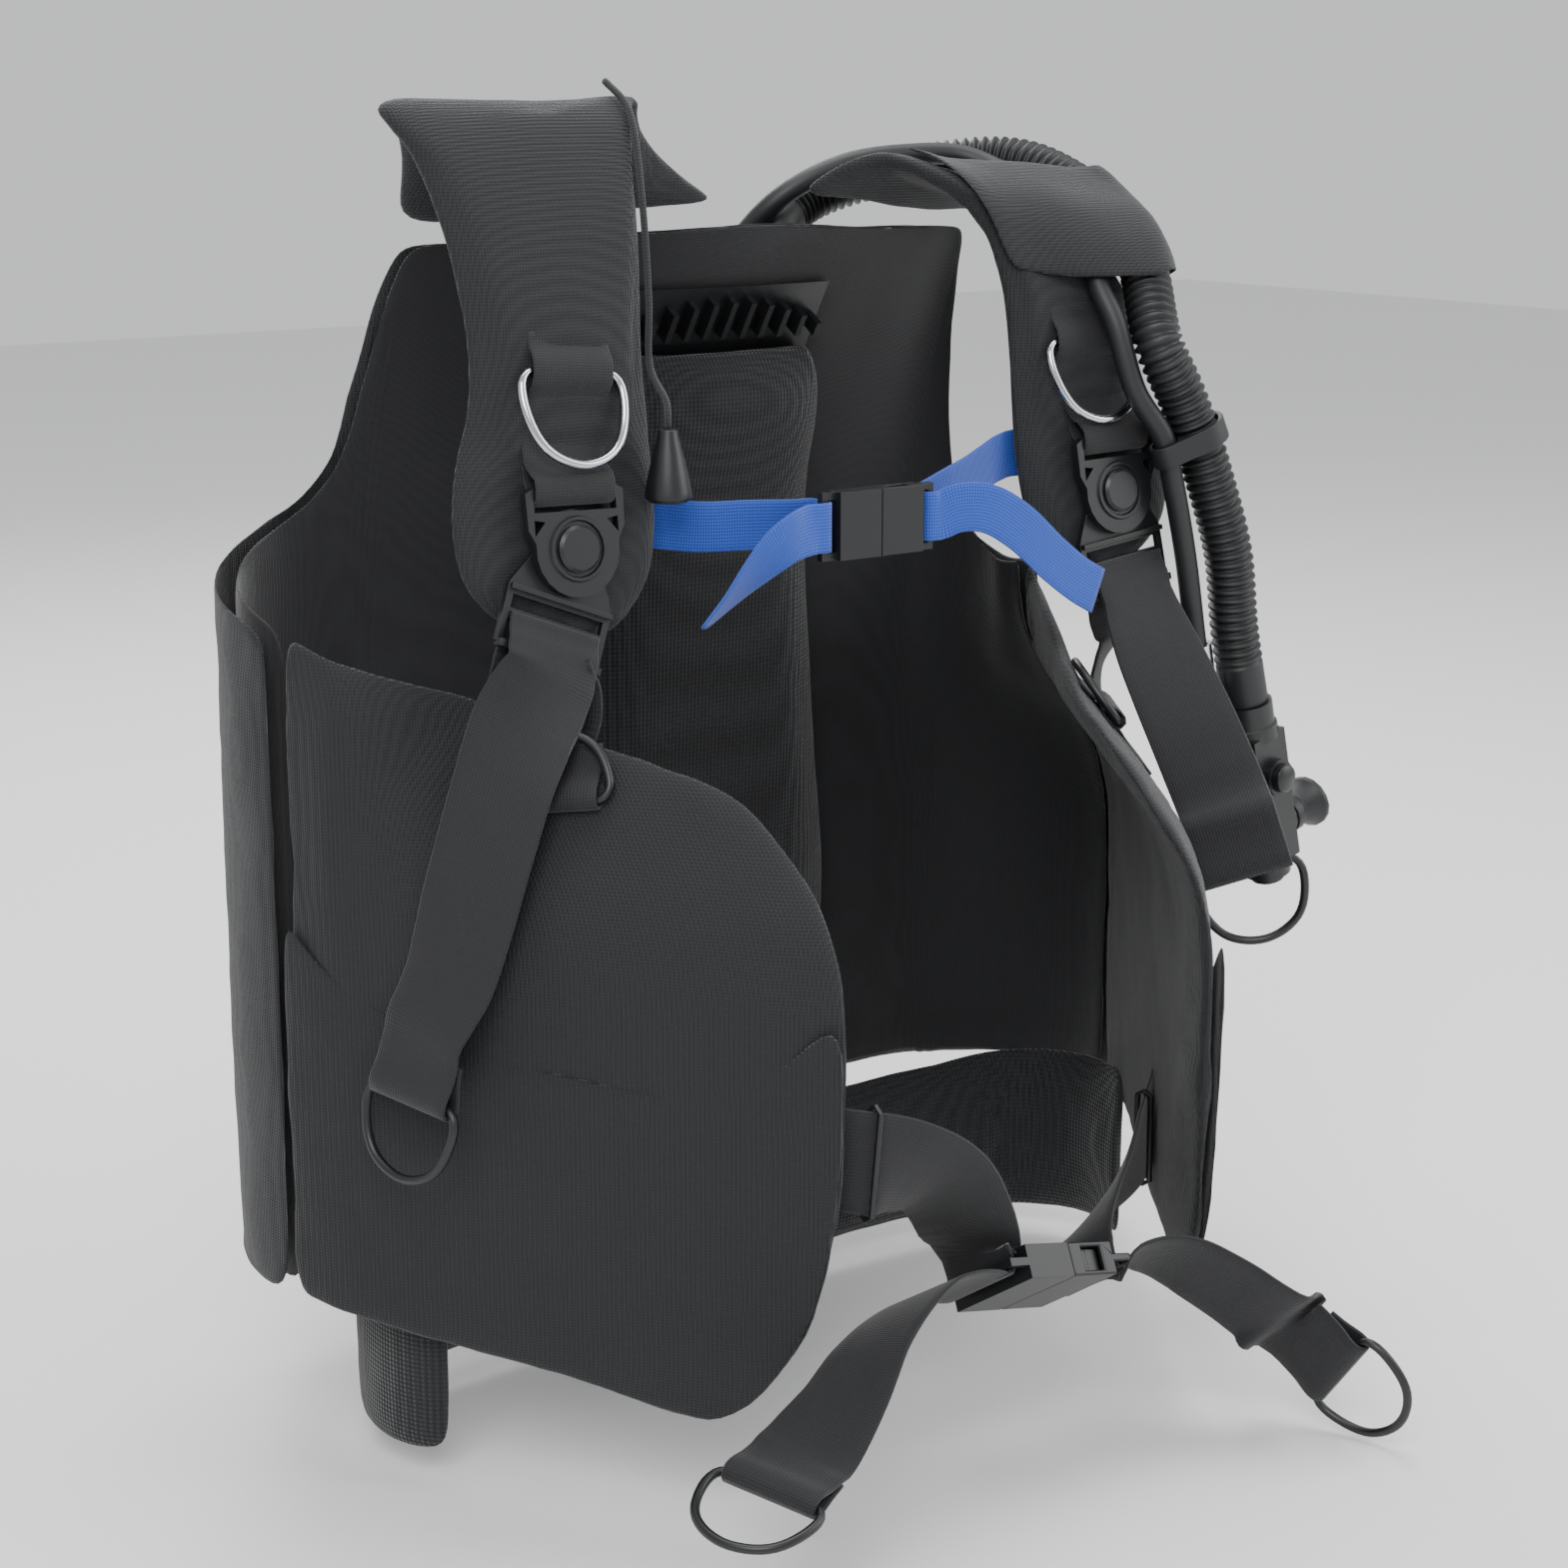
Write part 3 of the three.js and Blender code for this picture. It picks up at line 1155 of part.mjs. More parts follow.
const inflateBore = lathe([[0, 13], [INFLATE_R + GAP, 13], [INFLATE_R + GAP, 22], [0, 22]], 16);
const deflateBore = upY(lathe([[0, -110], [DEFLATE_R + GAP, -110], [DEFLATE_R + GAP, -99], [0, -99]], 16));
const inflator = cut(
  join(collar, trunk, foot, seatOfInflate, nipple, mouthPort),
  inflateBore.translate(0, -44, 0),
  deflateBore
);
add("inflator_body", place(inflator, inflatorAt), PLASTIC);
const INFLATE_TRAVEL = 4;
const inflateButton = lathe(
  [[0, 13 + INFLATE_TRAVEL + GAP], [INFLATE_R, 13 + INFLATE_TRAVEL + GAP], [INFLATE_R, 23], [6, 24.4], [0, 24.8]],
  16
).translate(0, -44, 0);
add("inflate_button", place(inflateButton, inflatorAt), PLASTIC);
const deflateButton = upY(
  lathe([[0, -112], [6.5, -111.6], [DEFLATE_R, -110], [DEFLATE_R, -104.5], [0, -104.5]], 16)
);
add("deflate_button", place(deflateButton, inflatorAt), PLASTIC);
const mouthpiece = lathe(
  [[0, 21.4], [11, 21.4], [11, 27], [9, 30], [12, 37], [15, 41], [15, 44], [0, 44]], 16
).rotateY(PI / 2).translate(0, -80, 0);
add("mouthpiece", place(mouthpiece, inflatorAt), RUBBER);

// The quick disconnect: a chrome collar round the small hose's end.
const lpEnd = V(...lpPath.at(-1));
const lpDown = lpEnd.clone().sub(V(...lpPath.at(-2))).normalize();
const qdAt = frameAt(lpEnd, lpDown, V(0, -1, 0));
const collarSection = [
  [LP_R + 0.5, -30], [8.6, -30], [8.6, -9], [9.8, -8], [9.8, -1], [8.4, 0], [LP_R + 0.5, 0],
  [LP_R + 0.5, -30],
];
add("qd_collar", place(lathe(collarSection, 18), qdAt), STEEL);
const fitting = lathe([[0, 0], [5, 0], [5, 8], [8.5, 9], [8.5, 20], [7, 21], [7, 30], [0, 30]], 18);
const fittingAt = frameAt(V(30, 150, -330 - GAP), V(0, 0, -1), V(0, -1, 0));
add("lp_fitting", place(fitting, fittingAt), STEEL);

// ---- dump cord and knob on the right strap ------------------------------------------------------
const CORD_R = 1.8;
const knobTop = V(-118, -68, -148);
const cordPath = [
  ...[[3.1, 0.12, 4.5], [4, 0.07, 4], [5, 0.05, 3.4], [6, 0.05, 3.2], [7, 0.05, 3.2], [8, 0.05, 3.6]].map(
    ([k, u, h]) => onStrap("right", u, k, h).toArray()
  ),
  [-116.5, -65, -136],
  [-118, -68, -142],
  knobTop.clone().setZ(knobTop.z + 2 * GAP).toArray(),
];
add("dump_cord", tube(cordPath, CORD_R, 8, 18), WEBBING);
const knobAt = frameAt(knobTop, V(0, 0, -1), V(0, -1, 0));
const knob = lathe([[0, 0], [4.6, 0], [5.4, 4], [9.4, 20], [11.4, 30], [11.4, 33], [9, 35], [0, 35]], 18);
add("dump_knob", place(knob, knobAt), PLASTIC);

export default vest;
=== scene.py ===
"""Buoyancy vest for diving: fabrics, webbing, hoses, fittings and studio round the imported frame."""

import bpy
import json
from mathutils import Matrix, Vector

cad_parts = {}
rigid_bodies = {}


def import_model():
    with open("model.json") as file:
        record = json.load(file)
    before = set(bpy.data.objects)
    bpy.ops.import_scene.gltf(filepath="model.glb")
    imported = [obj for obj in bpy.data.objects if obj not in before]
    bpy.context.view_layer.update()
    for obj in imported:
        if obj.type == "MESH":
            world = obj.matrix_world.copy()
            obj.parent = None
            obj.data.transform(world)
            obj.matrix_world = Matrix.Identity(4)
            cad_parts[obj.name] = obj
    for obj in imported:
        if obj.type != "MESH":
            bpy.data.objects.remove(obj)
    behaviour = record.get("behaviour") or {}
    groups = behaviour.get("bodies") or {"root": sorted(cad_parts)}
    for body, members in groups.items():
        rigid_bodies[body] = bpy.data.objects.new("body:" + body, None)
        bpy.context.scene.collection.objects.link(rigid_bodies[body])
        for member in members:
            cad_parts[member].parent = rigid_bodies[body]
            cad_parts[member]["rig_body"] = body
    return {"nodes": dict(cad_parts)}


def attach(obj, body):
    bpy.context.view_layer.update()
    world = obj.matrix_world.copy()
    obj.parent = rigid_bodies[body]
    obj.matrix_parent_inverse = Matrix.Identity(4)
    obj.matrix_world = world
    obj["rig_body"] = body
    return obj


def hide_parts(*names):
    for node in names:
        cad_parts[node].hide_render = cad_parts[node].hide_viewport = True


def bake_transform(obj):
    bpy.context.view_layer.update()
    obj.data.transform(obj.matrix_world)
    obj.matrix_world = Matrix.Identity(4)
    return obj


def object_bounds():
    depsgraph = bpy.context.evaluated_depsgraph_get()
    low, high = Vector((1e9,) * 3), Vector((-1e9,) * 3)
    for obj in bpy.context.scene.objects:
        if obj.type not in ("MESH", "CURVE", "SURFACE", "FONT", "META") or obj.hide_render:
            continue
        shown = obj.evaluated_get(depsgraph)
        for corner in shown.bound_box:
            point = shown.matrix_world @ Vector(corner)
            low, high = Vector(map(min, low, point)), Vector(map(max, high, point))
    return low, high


bl_info = {
    "name": "Buoyancy Vest",
    "version": (1, 0, 0),
    "blender": (4, 5, 0),
    "location": "View3D > Sidebar > Buoyancy Vest",
    "description": "Sews, fits and lights a diving buoyancy vest round its solid frame",
    "category": "Object",
}

import itertools
import json
import math

import bmesh
import bpy
import numpy as np
from mathutils import Vector, noise

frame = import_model()
CAD_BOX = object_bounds()
MM = 0.001
VEST = "vest"

# ---- colours and small helpers ------------------------------------------------------------------


def linear(value):
    """A colour from an sRGB hex string, as the linear RGBA that shaders read. A linear colour stays."""
    if not isinstance(value, str):
        return (*value, 1.0)
    parts = [int(value[i : i + 2], 16) / 255 for i in (0, 2, 4)]
    return (*[c / 12.92 if c <= 0.04045 else ((c + 0.055) / 1.055) ** 2.4 for c in parts], 1.0)


def add(tree, kind, inputs=None, **settings):
    """A node of that kind with its settings, and its inputs set or linked."""
    made = tree.nodes.new(kind)
    for name, value in settings.items():
        setattr(made, name, value)
    for name, value in (inputs or {}).items():
        socket = made.inputs[name]
        if isinstance(value, bpy.types.NodeSocket):
            tree.links.new(value, socket)
        else:
            socket.default_value = value
    return made


def spline(points, knots, at):
    """A smooth line through points at rising knots, read at the numbers in `at`."""
    p, t, x = np.asarray(points, float), np.asarray(knots, float), np.asarray(at, float)
    step = np.diff(t)
    slope = np.diff(p, axis=0) / step[:, None]
    tangent = np.empty_like(p)
    tangent[0], tangent[-1] = slope[0], slope[-1]
    share = (step[:-1] / (step[:-1] + step[1:]))[:, None]
    tangent[1:-1] = slope[:-1] * (1 - share) + slope[1:] * share
    i = np.clip(np.searchsorted(t, x, side="right") - 1, 0, len(step) - 1)
    h = step[i][:, None]
    s = ((x - t[i]) / step[i])[:, None]
    a, b = s * s * (3 - 2 * s), s * (1 - s)
    return p[i] * (1 - a) + p[i + 1] * a + h * b * ((1 - s) * tangent[i] - s * tangent[i + 1])


def lengths(points):
    """How far along the line each point lies."""
    return np.concatenate([[0], np.cumsum(np.linalg.norm(np.diff(points, axis=0), axis=1))])


def units(rows):
    return rows / np.maximum(np.linalg.norm(rows, axis=-1, keepdims=True), 1e-12)


def ease(x, low, high):
    t = np.clip((np.asarray(x, float) - low) / (high - low), 0, 1)
    return t * t * (3 - 2 * t)


def mesh_object(name, points, faces, material, uv=None):
    """A mesh object at the origin. uv gives one pair of metres for each point."""
    data = bpy.data.meshes.new(name)
    data.from_pydata([tuple(map(float, p)) for p in points], [], faces)
    if uv is not None:
        layer = data.uv_layers.new(name="UVMap")
        corners = np.zeros(len(data.loops), np.int32)
        data.loops.foreach_get("vertex_index", corners)
        layer.data.foreach_set("uv", np.asarray(uv, np.float32)[corners].ravel())
    data.polygons.foreach_set("use_smooth", [True] * len(data.polygons))
    data.materials.append(material)
    made = bpy.data.objects.new(name, data)
    bpy.context.scene.collection.objects.link(made)
    return made


def face_out(obj):
    """Turns every face outwards."""
    work = bmesh.new()
    work.from_mesh(obj.data)
    bmesh.ops.recalc_face_normals(work, faces=work.faces)
    work.to_mesh(obj.data)
    work.free()
    return obj


def settle(obj):
    """Puts the result of the object's modifiers into its mesh."""
    view = bpy.context.evaluated_depsgraph_get()
    data = bpy.data.meshes.new_from_object(obj.evaluated_get(view))
    obj.modifiers.clear()
    obj.data = data
    return obj


def grid_faces(rows, columns, closed=False):
    """Quads of a grid of points, rows x columns; closed joins the last column to the first."""
    faces = []
    for r in range(rows - 1):
        for c in range(columns if closed else columns - 1):
            d = (c + 1) % columns
            faces.append((r * columns + c, r * columns + d, (r + 1) * columns + d, (r + 1) * columns + c))
    return faces


def sweep(name, centres, side, out, profile, material):
    """A closed profile of (across, up) metres carried along a line. UV runs round it and along it."""
    ring = np.asarray(profile, float)
    count, around = len(centres), len(ring)
    points = (
        centres[:, None, :] + side[:, None, :] * ring[None, :, :1] + out[:, None, :] * ring[None, :, 1:]
    ).reshape(-1, 3)
    girth = lengths(np.vstack([ring, ring[:1]]))[:-1]
    run = lengths(centres)
    uv = np.stack(np.broadcast_arrays(girth[None, :], run[:, None]), -1).reshape(-1, 2)
    faces = grid_faces(count, around, closed=True)
    faces += [tuple(range(around))[::-1], tuple((count - 1) * around + i for i in range(around))]
    return face_out(mesh_object(name, points, faces, material, uv))


def fixed(obj, body, nodes=()):
    """Puts a finished piece on a body, and hides the solids it stands for."""
    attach(obj, body)
    if nodes:
        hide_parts(*nodes)
    return obj


# ---- reading the solids -------------------------------------------------------------------------


def solid_mesh(node):
    """Corner points and triangles of a CAD solid, with shared corners merged."""
    work = bmesh.new()
    work.from_mesh(frame["nodes"][node].data)
    bmesh.ops.remove_doubles(work, verts=work.verts, dist=2e-6)
    bmesh.ops.triangulate(work, faces=work.faces)
    work.verts.ensure_lookup_table()
    points = np.array([v.co for v in work.verts])
    triangles = [tuple(v.index for v in f.verts) for f in work.faces]
    work.free()
    return points, triangles


def neighbours(count, triangles):
    near = [set() for _ in range(count)]
    for a, b, c in triangles:
        near[a] |= {b, c}
        near[b] |= {a, c}
        near[c] |= {a, b}
    return near


def read_ribbon(node, width, thick):
    """Sections of a webbing solid in order: their middles and the directions across them."""
    points, triangles = solid_mesh(node)
    near = neighbours(len(points), triangles)
    wanted = (thick, width, math.hypot(width, thick))
    best = None
    for s in range(len(points)):
        mates, error = [s], 0.0
        ring = near[s].union(*(near[k] for k in near[s])) - {s}
        for size in wanted:
            pick = min(ring - set(mates), key=lambda k: abs(np.linalg.norm(points[k] - points[s]) - size))
            error += abs(np.linalg.norm(points[pick] - points[s]) - size)
            mates.append(pick)
        levels = [set(mates)]
        seen = set(mates)
        while True:
            step = set().union(*(near[k] for k in levels[-1])) - seen
            if not step:
                break
            levels.append(step)
            seen |= step
        if all(len(level) == 4 for level in levels) and (best is None or error < best[0]):
            best = (error, mates, levels)
    if best is None:
        raise RuntimeError(f"{node} is not a ribbon")
    order = best[1]
    sections = [order]
    for level in best[2][1:]:
        before = points[sections[-1]]
        shape = before - before.mean(0)

        def change(pick):
            now = points[list(pick)]
            return np.linalg.norm(now - now.mean(0) - shape)

        sections.append(list(min(itertools.permutations(level), key=change)))
    corners = points[np.array(sections)]
    middle = corners.mean(1)
    across = units((corners[:, 2] + corners[:, 3]) - (corners[:, 0] + corners[:, 1]))
    return middle, across



# ---- finishes -----------------------------------------------------------------------------------

FINISH = {}
OXFORD_THREAD = 1.5 * MM  # a basket weave this coarse still shows at the picture's scale
WEBBING_RIB = 1.6 * MM
WEBBING_PICK = 1.3 * MM  # spacing of the threads that cross a webbing
MESH_HOLE = 2.4 * MM
WEAVE_STRENGTH = 0.6
GRAIN_STRENGTH = 0.25
WEBBING_RELIEF = 0.12 * MM
CLOTH_ROUGHNESS = 0.82
WEBBING_ROUGHNESS = 0.75
SHEEN_ROUGHNESS = 0.4
WAVE_REACH = 2.0  # the sum of the sines, either way, over which the two tones are mixed


def shader(name, colour, roughness, metallic=0.0, sheen=0.0, coat=0.0):
    """A new material and its tree, with a plain shader that the caller may add a pattern to."""
    made = bpy.data.materials.new(name)
    made.use_nodes = True
    tree = made.node_tree
    surface = tree.nodes["Principled BSDF"]
    surface.inputs["Base Color"].default_value = linear(colour)
    surface.inputs["Roughness"].default_value = roughness
    surface.inputs["Metallic"].default_value = metallic
    surface.inputs["Sheen Weight"].default_value = sheen
    surface.inputs["Sheen Roughness"].default_value = SHEEN_ROUGHNESS
    surface.inputs["Coat Weight"].default_value = coat
    FINISH[name] = made
    return tree, surface


def waves(tree, where, pitches):
    """The sum of one sine for each axis that has a pitch, which is a weave on any face that it meets."""
    parts = add(tree, "ShaderNodeSeparateXYZ", {0: where})
    total = None
    for axis, pitch in zip("XYZ", pitches):
        if not pitch:
            continue
        turns = {0: parts.outputs[axis], 1: math.tau / pitch}
        turn = add(tree, "ShaderNodeMath", turns, operation="MULTIPLY")
        wave = add(tree, "ShaderNodeMath", {0: turn.outputs[0]}, operation="SINE")
        if total is None:
            total = wave
        else:
            total = add(tree, "ShaderNodeMath", {0: total.outputs[0], 1: wave.outputs[0]}, operation="ADD")
    return total.outputs[0]


def relief(tree, surface, height, depth, strength=WEAVE_STRENGTH):
    bump = add(tree, "ShaderNodeBump", {"Height": height, "Strength": strength, "Distance": depth})
    tree.links.new(bump.outputs[0], surface.inputs["Normal"])


def painted_highlight_and_shade(tree, surface, height, dark, light):
    """Painted highlight and shade: thread crests get the lighter colour as if they caught a little light,
    and the gaps between them get the darker colour as painted shade.
    """
    reach = {"Value": height, "From Min": -WAVE_REACH, "From Max": WAVE_REACH}
    share = add(tree, "ShaderNodeMapRange", reach)
    mix = add(tree, "ShaderNodeMix", {0: share.outputs[0]}, data_type="RGBA")
    mix.inputs[6].default_value = linear(dark)
    mix.inputs[7].default_value = linear(light)
    tree.links.new(mix.outputs[2], surface.inputs["Base Color"])


def woven(name, dark, light, pitch, depth, sheen):
    """Fabric with a plain weave in the object's own space, with a painted highlight on its threads and
    painted shade in the gaps between them.
    """
    tree, surface = shader(name, light, CLOTH_ROUGHNESS, sheen=sheen)
    place = add(tree, "ShaderNodeTexCoord")
    height = waves(tree, place.outputs["Object"], (pitch, pitch, pitch))
    painted_highlight_and_shade(tree, surface, height, dark, light)
    relief(tree, surface, height, depth)


def ribbed(name, dark, light, across, along, sheen):
    """Webbing, whose ribs run along it and whose picks cross it, with a painted highlight on its raised
    threads and painted shade between them. It reads the strap's own UV in metres.
    """
    tree, surface = shader(name, light, WEBBING_ROUGHNESS, sheen=sheen)
    place = add(tree, "ShaderNodeTexCoord")
    height = waves(tree, place.outputs["UV"], (across, along, 0))
    painted_highlight_and_shade(tree, surface, height, dark, light)
    relief(tree, surface, height, WEBBING_RELIEF)


def grained(name, colour, roughness, grain, depth, coat=0.0):
    """Moulded surface with a fine spark-eroded grain."""
    tree, surface = shader(name, colour, roughness, coat=coat)
    place = add(tree, "ShaderNodeTexCoord")
    pattern = add(tree, "ShaderNodeTexNoise", {"Vector": place.outputs["Object"], "Scale": 1 / grain})
    relief(tree, surface, pattern.outputs[0], depth, GRAIN_STRENGTH)


def make_finishes(weave_pitch, rib_pitch, strap_blue):
    """Every material of the vest. strap_blue is a linear colour."""
    # Each woven or ribbed finish takes a darker and a lighter tone: the darker is painted shade in the gaps
    # of the weave, the lighter a painted highlight on its threads.
    # Coated oxford nylon: almost black, with a basket weave that glitters faintly where it turns, from its
    # sheen and from the painted highlight on its thread crests.
    woven("oxford_nylon", "0B0C0E", "1E2024", weave_pitch, 0.16 * MM, 0.15)
    # Tricot lining: smoother and a little darker, with a soft bloom.
    woven("tricot_lining", "0A0A0D", "17181C", 1.1 * MM, 0.06 * MM, 0.3)
    # Spacer mesh over foam: open knit whose holes are drawn as dark dots of painted shade.
    woven("spacer_mesh", "060607", "202226", MESH_HOLE, 0.35 * MM, 0.2)
    # Urethane film of the air cell, seen only past the lining.
    grained("urethane_film", "2B2C30", 0.45, 3 * MM, 0.1 * MM)
    # Nylon webbing: dark grey-black with lengthwise ribs.
    ribbed("nylon_webbing", "08080A", "1C1D21", rib_pitch, WEBBING_PICK, 0.2)
    # Dyed polyester webbing: royal blue, the brightest piece on the chest.
    ribbed("blue_webbing", "102C7C", strap_blue, rib_pitch, WEBBING_PICK, 0.25)
    # Braided cord.
    ribbed("braided_cord", "08080A", "222327", 1.2 * MM, 1.6 * MM, 0.2)
    # Acetal and nylon mouldings: black, satin, with a grain that breaks the highlights.
    grained("acetal_moulding", "141517", 0.38, 0.8 * MM, 0.03 * MM)
    # Electropolished stainless wire: bright with a narrow blur.
    shader("polished_stainless", "C4C6CA", 0.16, metallic=1.0)
    # Chromed brass: the mirror of the hose's quick coupling.
    shader("chromed_brass", "D5D7DA", 0.07, metallic=1.0)
    # Moulded rubber: black, matt, with a soft broad shine on the ribs.
    grained("moulded_rubber", "17181A", 0.5, 1.5 * MM, 0.04 * MM)
    # Painted studio floor.
    shader("studio_floor", "E9E9E8", 0.7)


# ---- pieces from the solids ---------------------------------------------------------------------


QUAD_FOLD, QUAD_SKEW = 0.6, 0.9  # radians that a pair of triangles may fold or skew as one quad
FLAT_ANGLE = math.radians(0.6)  # triangles that meet flatter than this are one face
SHARP_ANGLE = math.radians(32)
EDGE_SEGMENTS = 3


def copy_of(node, finish):
    """A merged copy of a CAD solid, in quads where its triangles pair up."""
    points, triangles = solid_mesh(node)
    obj = mesh_object(f"{node}_made", points, triangles, FINISH[finish])
    work = bmesh.new()
    work.from_mesh(obj.data)
    bmesh.ops.join_triangles(
        work, faces=work.faces, angle_face_threshold=QUAD_FOLD, angle_shape_threshold=QUAD_SKEW
    )
    work.to_mesh(obj.data)
    work.free()
    return face_out(obj)


def smoothed(obj, levels):
    made = obj.modifiers.new("Smooth", "SUBSURF")
    made.levels = made.render_levels = levels
    return settle(obj)


def positions(obj):
    flat = np.zeros(len(obj.data.vertices) * 3, np.float32)
    obj.data.vertices.foreach_get("co", flat)
    return flat.reshape(-1, 3).astype(float)


def move_to(obj, points):
    obj.data.vertices.foreach_set("co", np.asarray(points, np.float32).ravel())
    obj.data.update()


def point_normals(obj):
    flat = np.zeros(len(obj.data.vertices) * 3, np.float32)
    obj.data.vertex_normals.foreach_get("vector", flat)
    return flat.reshape(-1, 3).astype(float)


def crumple(obj, size, depth, seed):
    """Slack cloth: shallow folds of that size, worked into the points along their normals."""
    points, normals = positions(obj), point_normals(obj)
    shift = Vector((seed * 7.3, seed * 3.1, seed * 5.7))
    amount = [noise.fractal(Vector(p) / size + shift, 0.8, 2.1, 3) for p in points]
    move_to(obj, points + normals * (np.array(amount) * depth)[:, None])
    return obj


SWELL_FRAMES = 20


def swell(obj, cap, pressure):
    """Fills a closed cover with a little air by the cloth solver, and keeps each point within `cap`."""
    scene = bpy.context.scene
    rest = positions(obj)
    cloth = obj.modifiers.new("Swell", "CLOTH")
    cloth.settings.use_pressure = True
    cloth.settings.uniform_pressure_force = pressure
    cloth.settings.effector_weights.gravity = 0.0
    cloth.point_cache.frame_start, cloth.point_cache.frame_end = 1, SWELL_FRAMES
    for step in range(1, SWELL_FRAMES + 1):
        scene.frame_set(step)
    view = bpy.context.evaluated_depsgraph_get()
    blown = positions(obj.evaluated_get(view))
    obj.modifiers.remove(cloth)
    scene.frame_set(1)
    move = blown - rest
    size = np.linalg.norm(move, axis=1, keepdims=True)
    move_to(obj, rest + move * np.minimum(1, cap / np.maximum(size, 1e-9)))
    return obj


COVERS = {
    # node: (finish, slot, subdivisions, how far it swells, fold size, fold depth, filling or None)
    "back_shell": ("oxford_nylon", "cloth", 2, 0, 60 * MM, 1.6 * MM, None),
    "back_lining": ("tricot_lining", "lining", 2, 0, 45 * MM, 1.0 * MM, None),
    "right_front_panel": ("oxford_nylon", "cloth", 2, 3.5 * MM, 50 * MM, 1.6 * MM, 0.5),
    "left_front_panel": ("oxford_nylon", "cloth", 2, 3.5 * MM, 50 * MM, 1.6 * MM, 0.5),
    "right_pocket": ("oxford_nylon", "cloth", 2, 0, 40 * MM, 1.2 * MM, None),
    "left_pocket": ("oxford_nylon", "cloth", 2, 0, 40 * MM, 1.2 * MM, None),
    "right_shoulder_strap": ("oxford_nylon", "cloth", 2, 3 * MM, 60 * MM, 0.7 * MM, 0.8),
    "left_shoulder_strap": ("oxford_nylon", "cloth", 2, 3 * MM, 60 * MM, 0.7 * MM, 0.8),
    "lumbar_pad": ("spacer_mesh", "cloth", 2, 3 * MM, 60 * MM, 0.8 * MM, 0.8),
    "hose_sleeve": ("oxford_nylon", "cloth", 2, 0, 40 * MM, 0.8 * MM, None),
    "back_pad": ("spacer_mesh", "padding", 2, 4 * MM, 60 * MM, 0.5 * MM, 0.8),
    "air_cell": ("urethane_film", "film", 1, 0, 60 * MM, 0.5 * MM, None),
}


def make_covers(pressure):
    """The sewn and padded pieces, rounded at their rims, filled and creased."""
    made = {}
    for seed, (node, (finish, slot, levels, cap, size, depth, fill)) in enumerate(COVERS.items()):
        obj = smoothed(copy_of(node, finish), levels)
        if cap:
            swell(obj, cap, pressure)
        crumple(obj, size, depth, seed)
        fixed(obj, VEST, [node])
        made[node] = obj
    return made


RIBBONS = {
    # node: (width, thickness in mm, finish, slot, body, bodies it bends between or None)
    "right_chest_webbing": (44, 1.3, "nylon_webbing", "webbing", VEST, None),
    "left_chest_webbing": (44, 1.3, "nylon_webbing", "webbing", VEST, None),
    "right_pocket_ring_tab": (44, 1.3, "nylon_webbing", "webbing", VEST, None),
    "left_pocket_ring_tab": (44, 1.3, "nylon_webbing", "webbing", VEST, None),
    "right_shoulder_tail": (50, 2, "nylon_webbing", "webbing", "right_swivel", None),
    "left_shoulder_tail": (50, 2, "nylon_webbing", "webbing", "left_swivel", None),
    "right_shoulder_anchor": (50, 2, "nylon_webbing", "webbing", None, (VEST, "right_swivel", False)),
    "left_shoulder_anchor": (50, 2, "nylon_webbing", "webbing", None, (VEST, "left_swivel", False)),
    "sternum_strap_right": (25, 1.5, "blue_webbing", "blue_webbing", None, (VEST, "sternum_male", False)),
    "sternum_tail_right": (25, 1.5, "blue_webbing", "blue_webbing", "sternum_male", None),
    "sternum_strap_left": (25, 1.5, "blue_webbing", "blue_webbing", VEST, None),
    "waist_strap_right": (50, 2, "nylon_webbing", "webbing", None, (VEST, "waist_male", False)),
    "waist_tail_right": (50, 2, "nylon_webbing", "webbing", None, (VEST, "waist_male", True)),
    "waist_strap_left": (50, 2, "nylon_webbing", "webbing", VEST, None),
}
EDGE_ROUNDING = 0.45  # share of the thickness that the woven edge rounds over


def strap_profile(width, thick):
    """Section of a webbing: a flat ribbon with rounded woven edges."""
    w, t, r = width / 2, thick / 2, EDGE_ROUNDING * thick
    across = np.linspace(-w + r, w - r, 9)
    top = [(x, t) for x in across]
    right = [(w - r + r * math.sin(a), t * math.cos(a)) for a in np.linspace(0, math.pi, 5)[1:-1]]
    bottom = [(x, -t) for x in across[::-1]]
    left = [(-x, -y) for x, y in right]
    return top + right + bottom + left


def ribbon_path(node, width, thick, step=3 * MM):
    """Evenly spaced sections of a webbing, smoothed between those of its solid."""
    middle, across = read_ribbon(node, width * MM, thick * MM)
    run = lengths(middle)
    at = np.linspace(0, run[-1], max(8, int(run[-1] / step)))
    centres = spline(middle, run, at)
    side = units(spline(across, run, at))
    along = units(np.gradient(centres, axis=0))
    side = units(side - along * (side * along).sum(1, keepdims=True))
    return centres, side, units(np.cross(along, side))


def make_webbing():
    """Every strap of webbing, swept along the middle of its solid."""
    for node, (width, thick, finish, slot, body, bend) in RIBBONS.items():
        centres, side, out = ribbon_path(node, width, thick)
        profile = np.array(strap_profile(width, thick)) * MM
        obj = sweep(f"{node}_woven", centres, side, out, profile, FINISH[finish])
        if bend:
            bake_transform(obj)
            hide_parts(node)
        else:
            fixed(obj, body, [node])


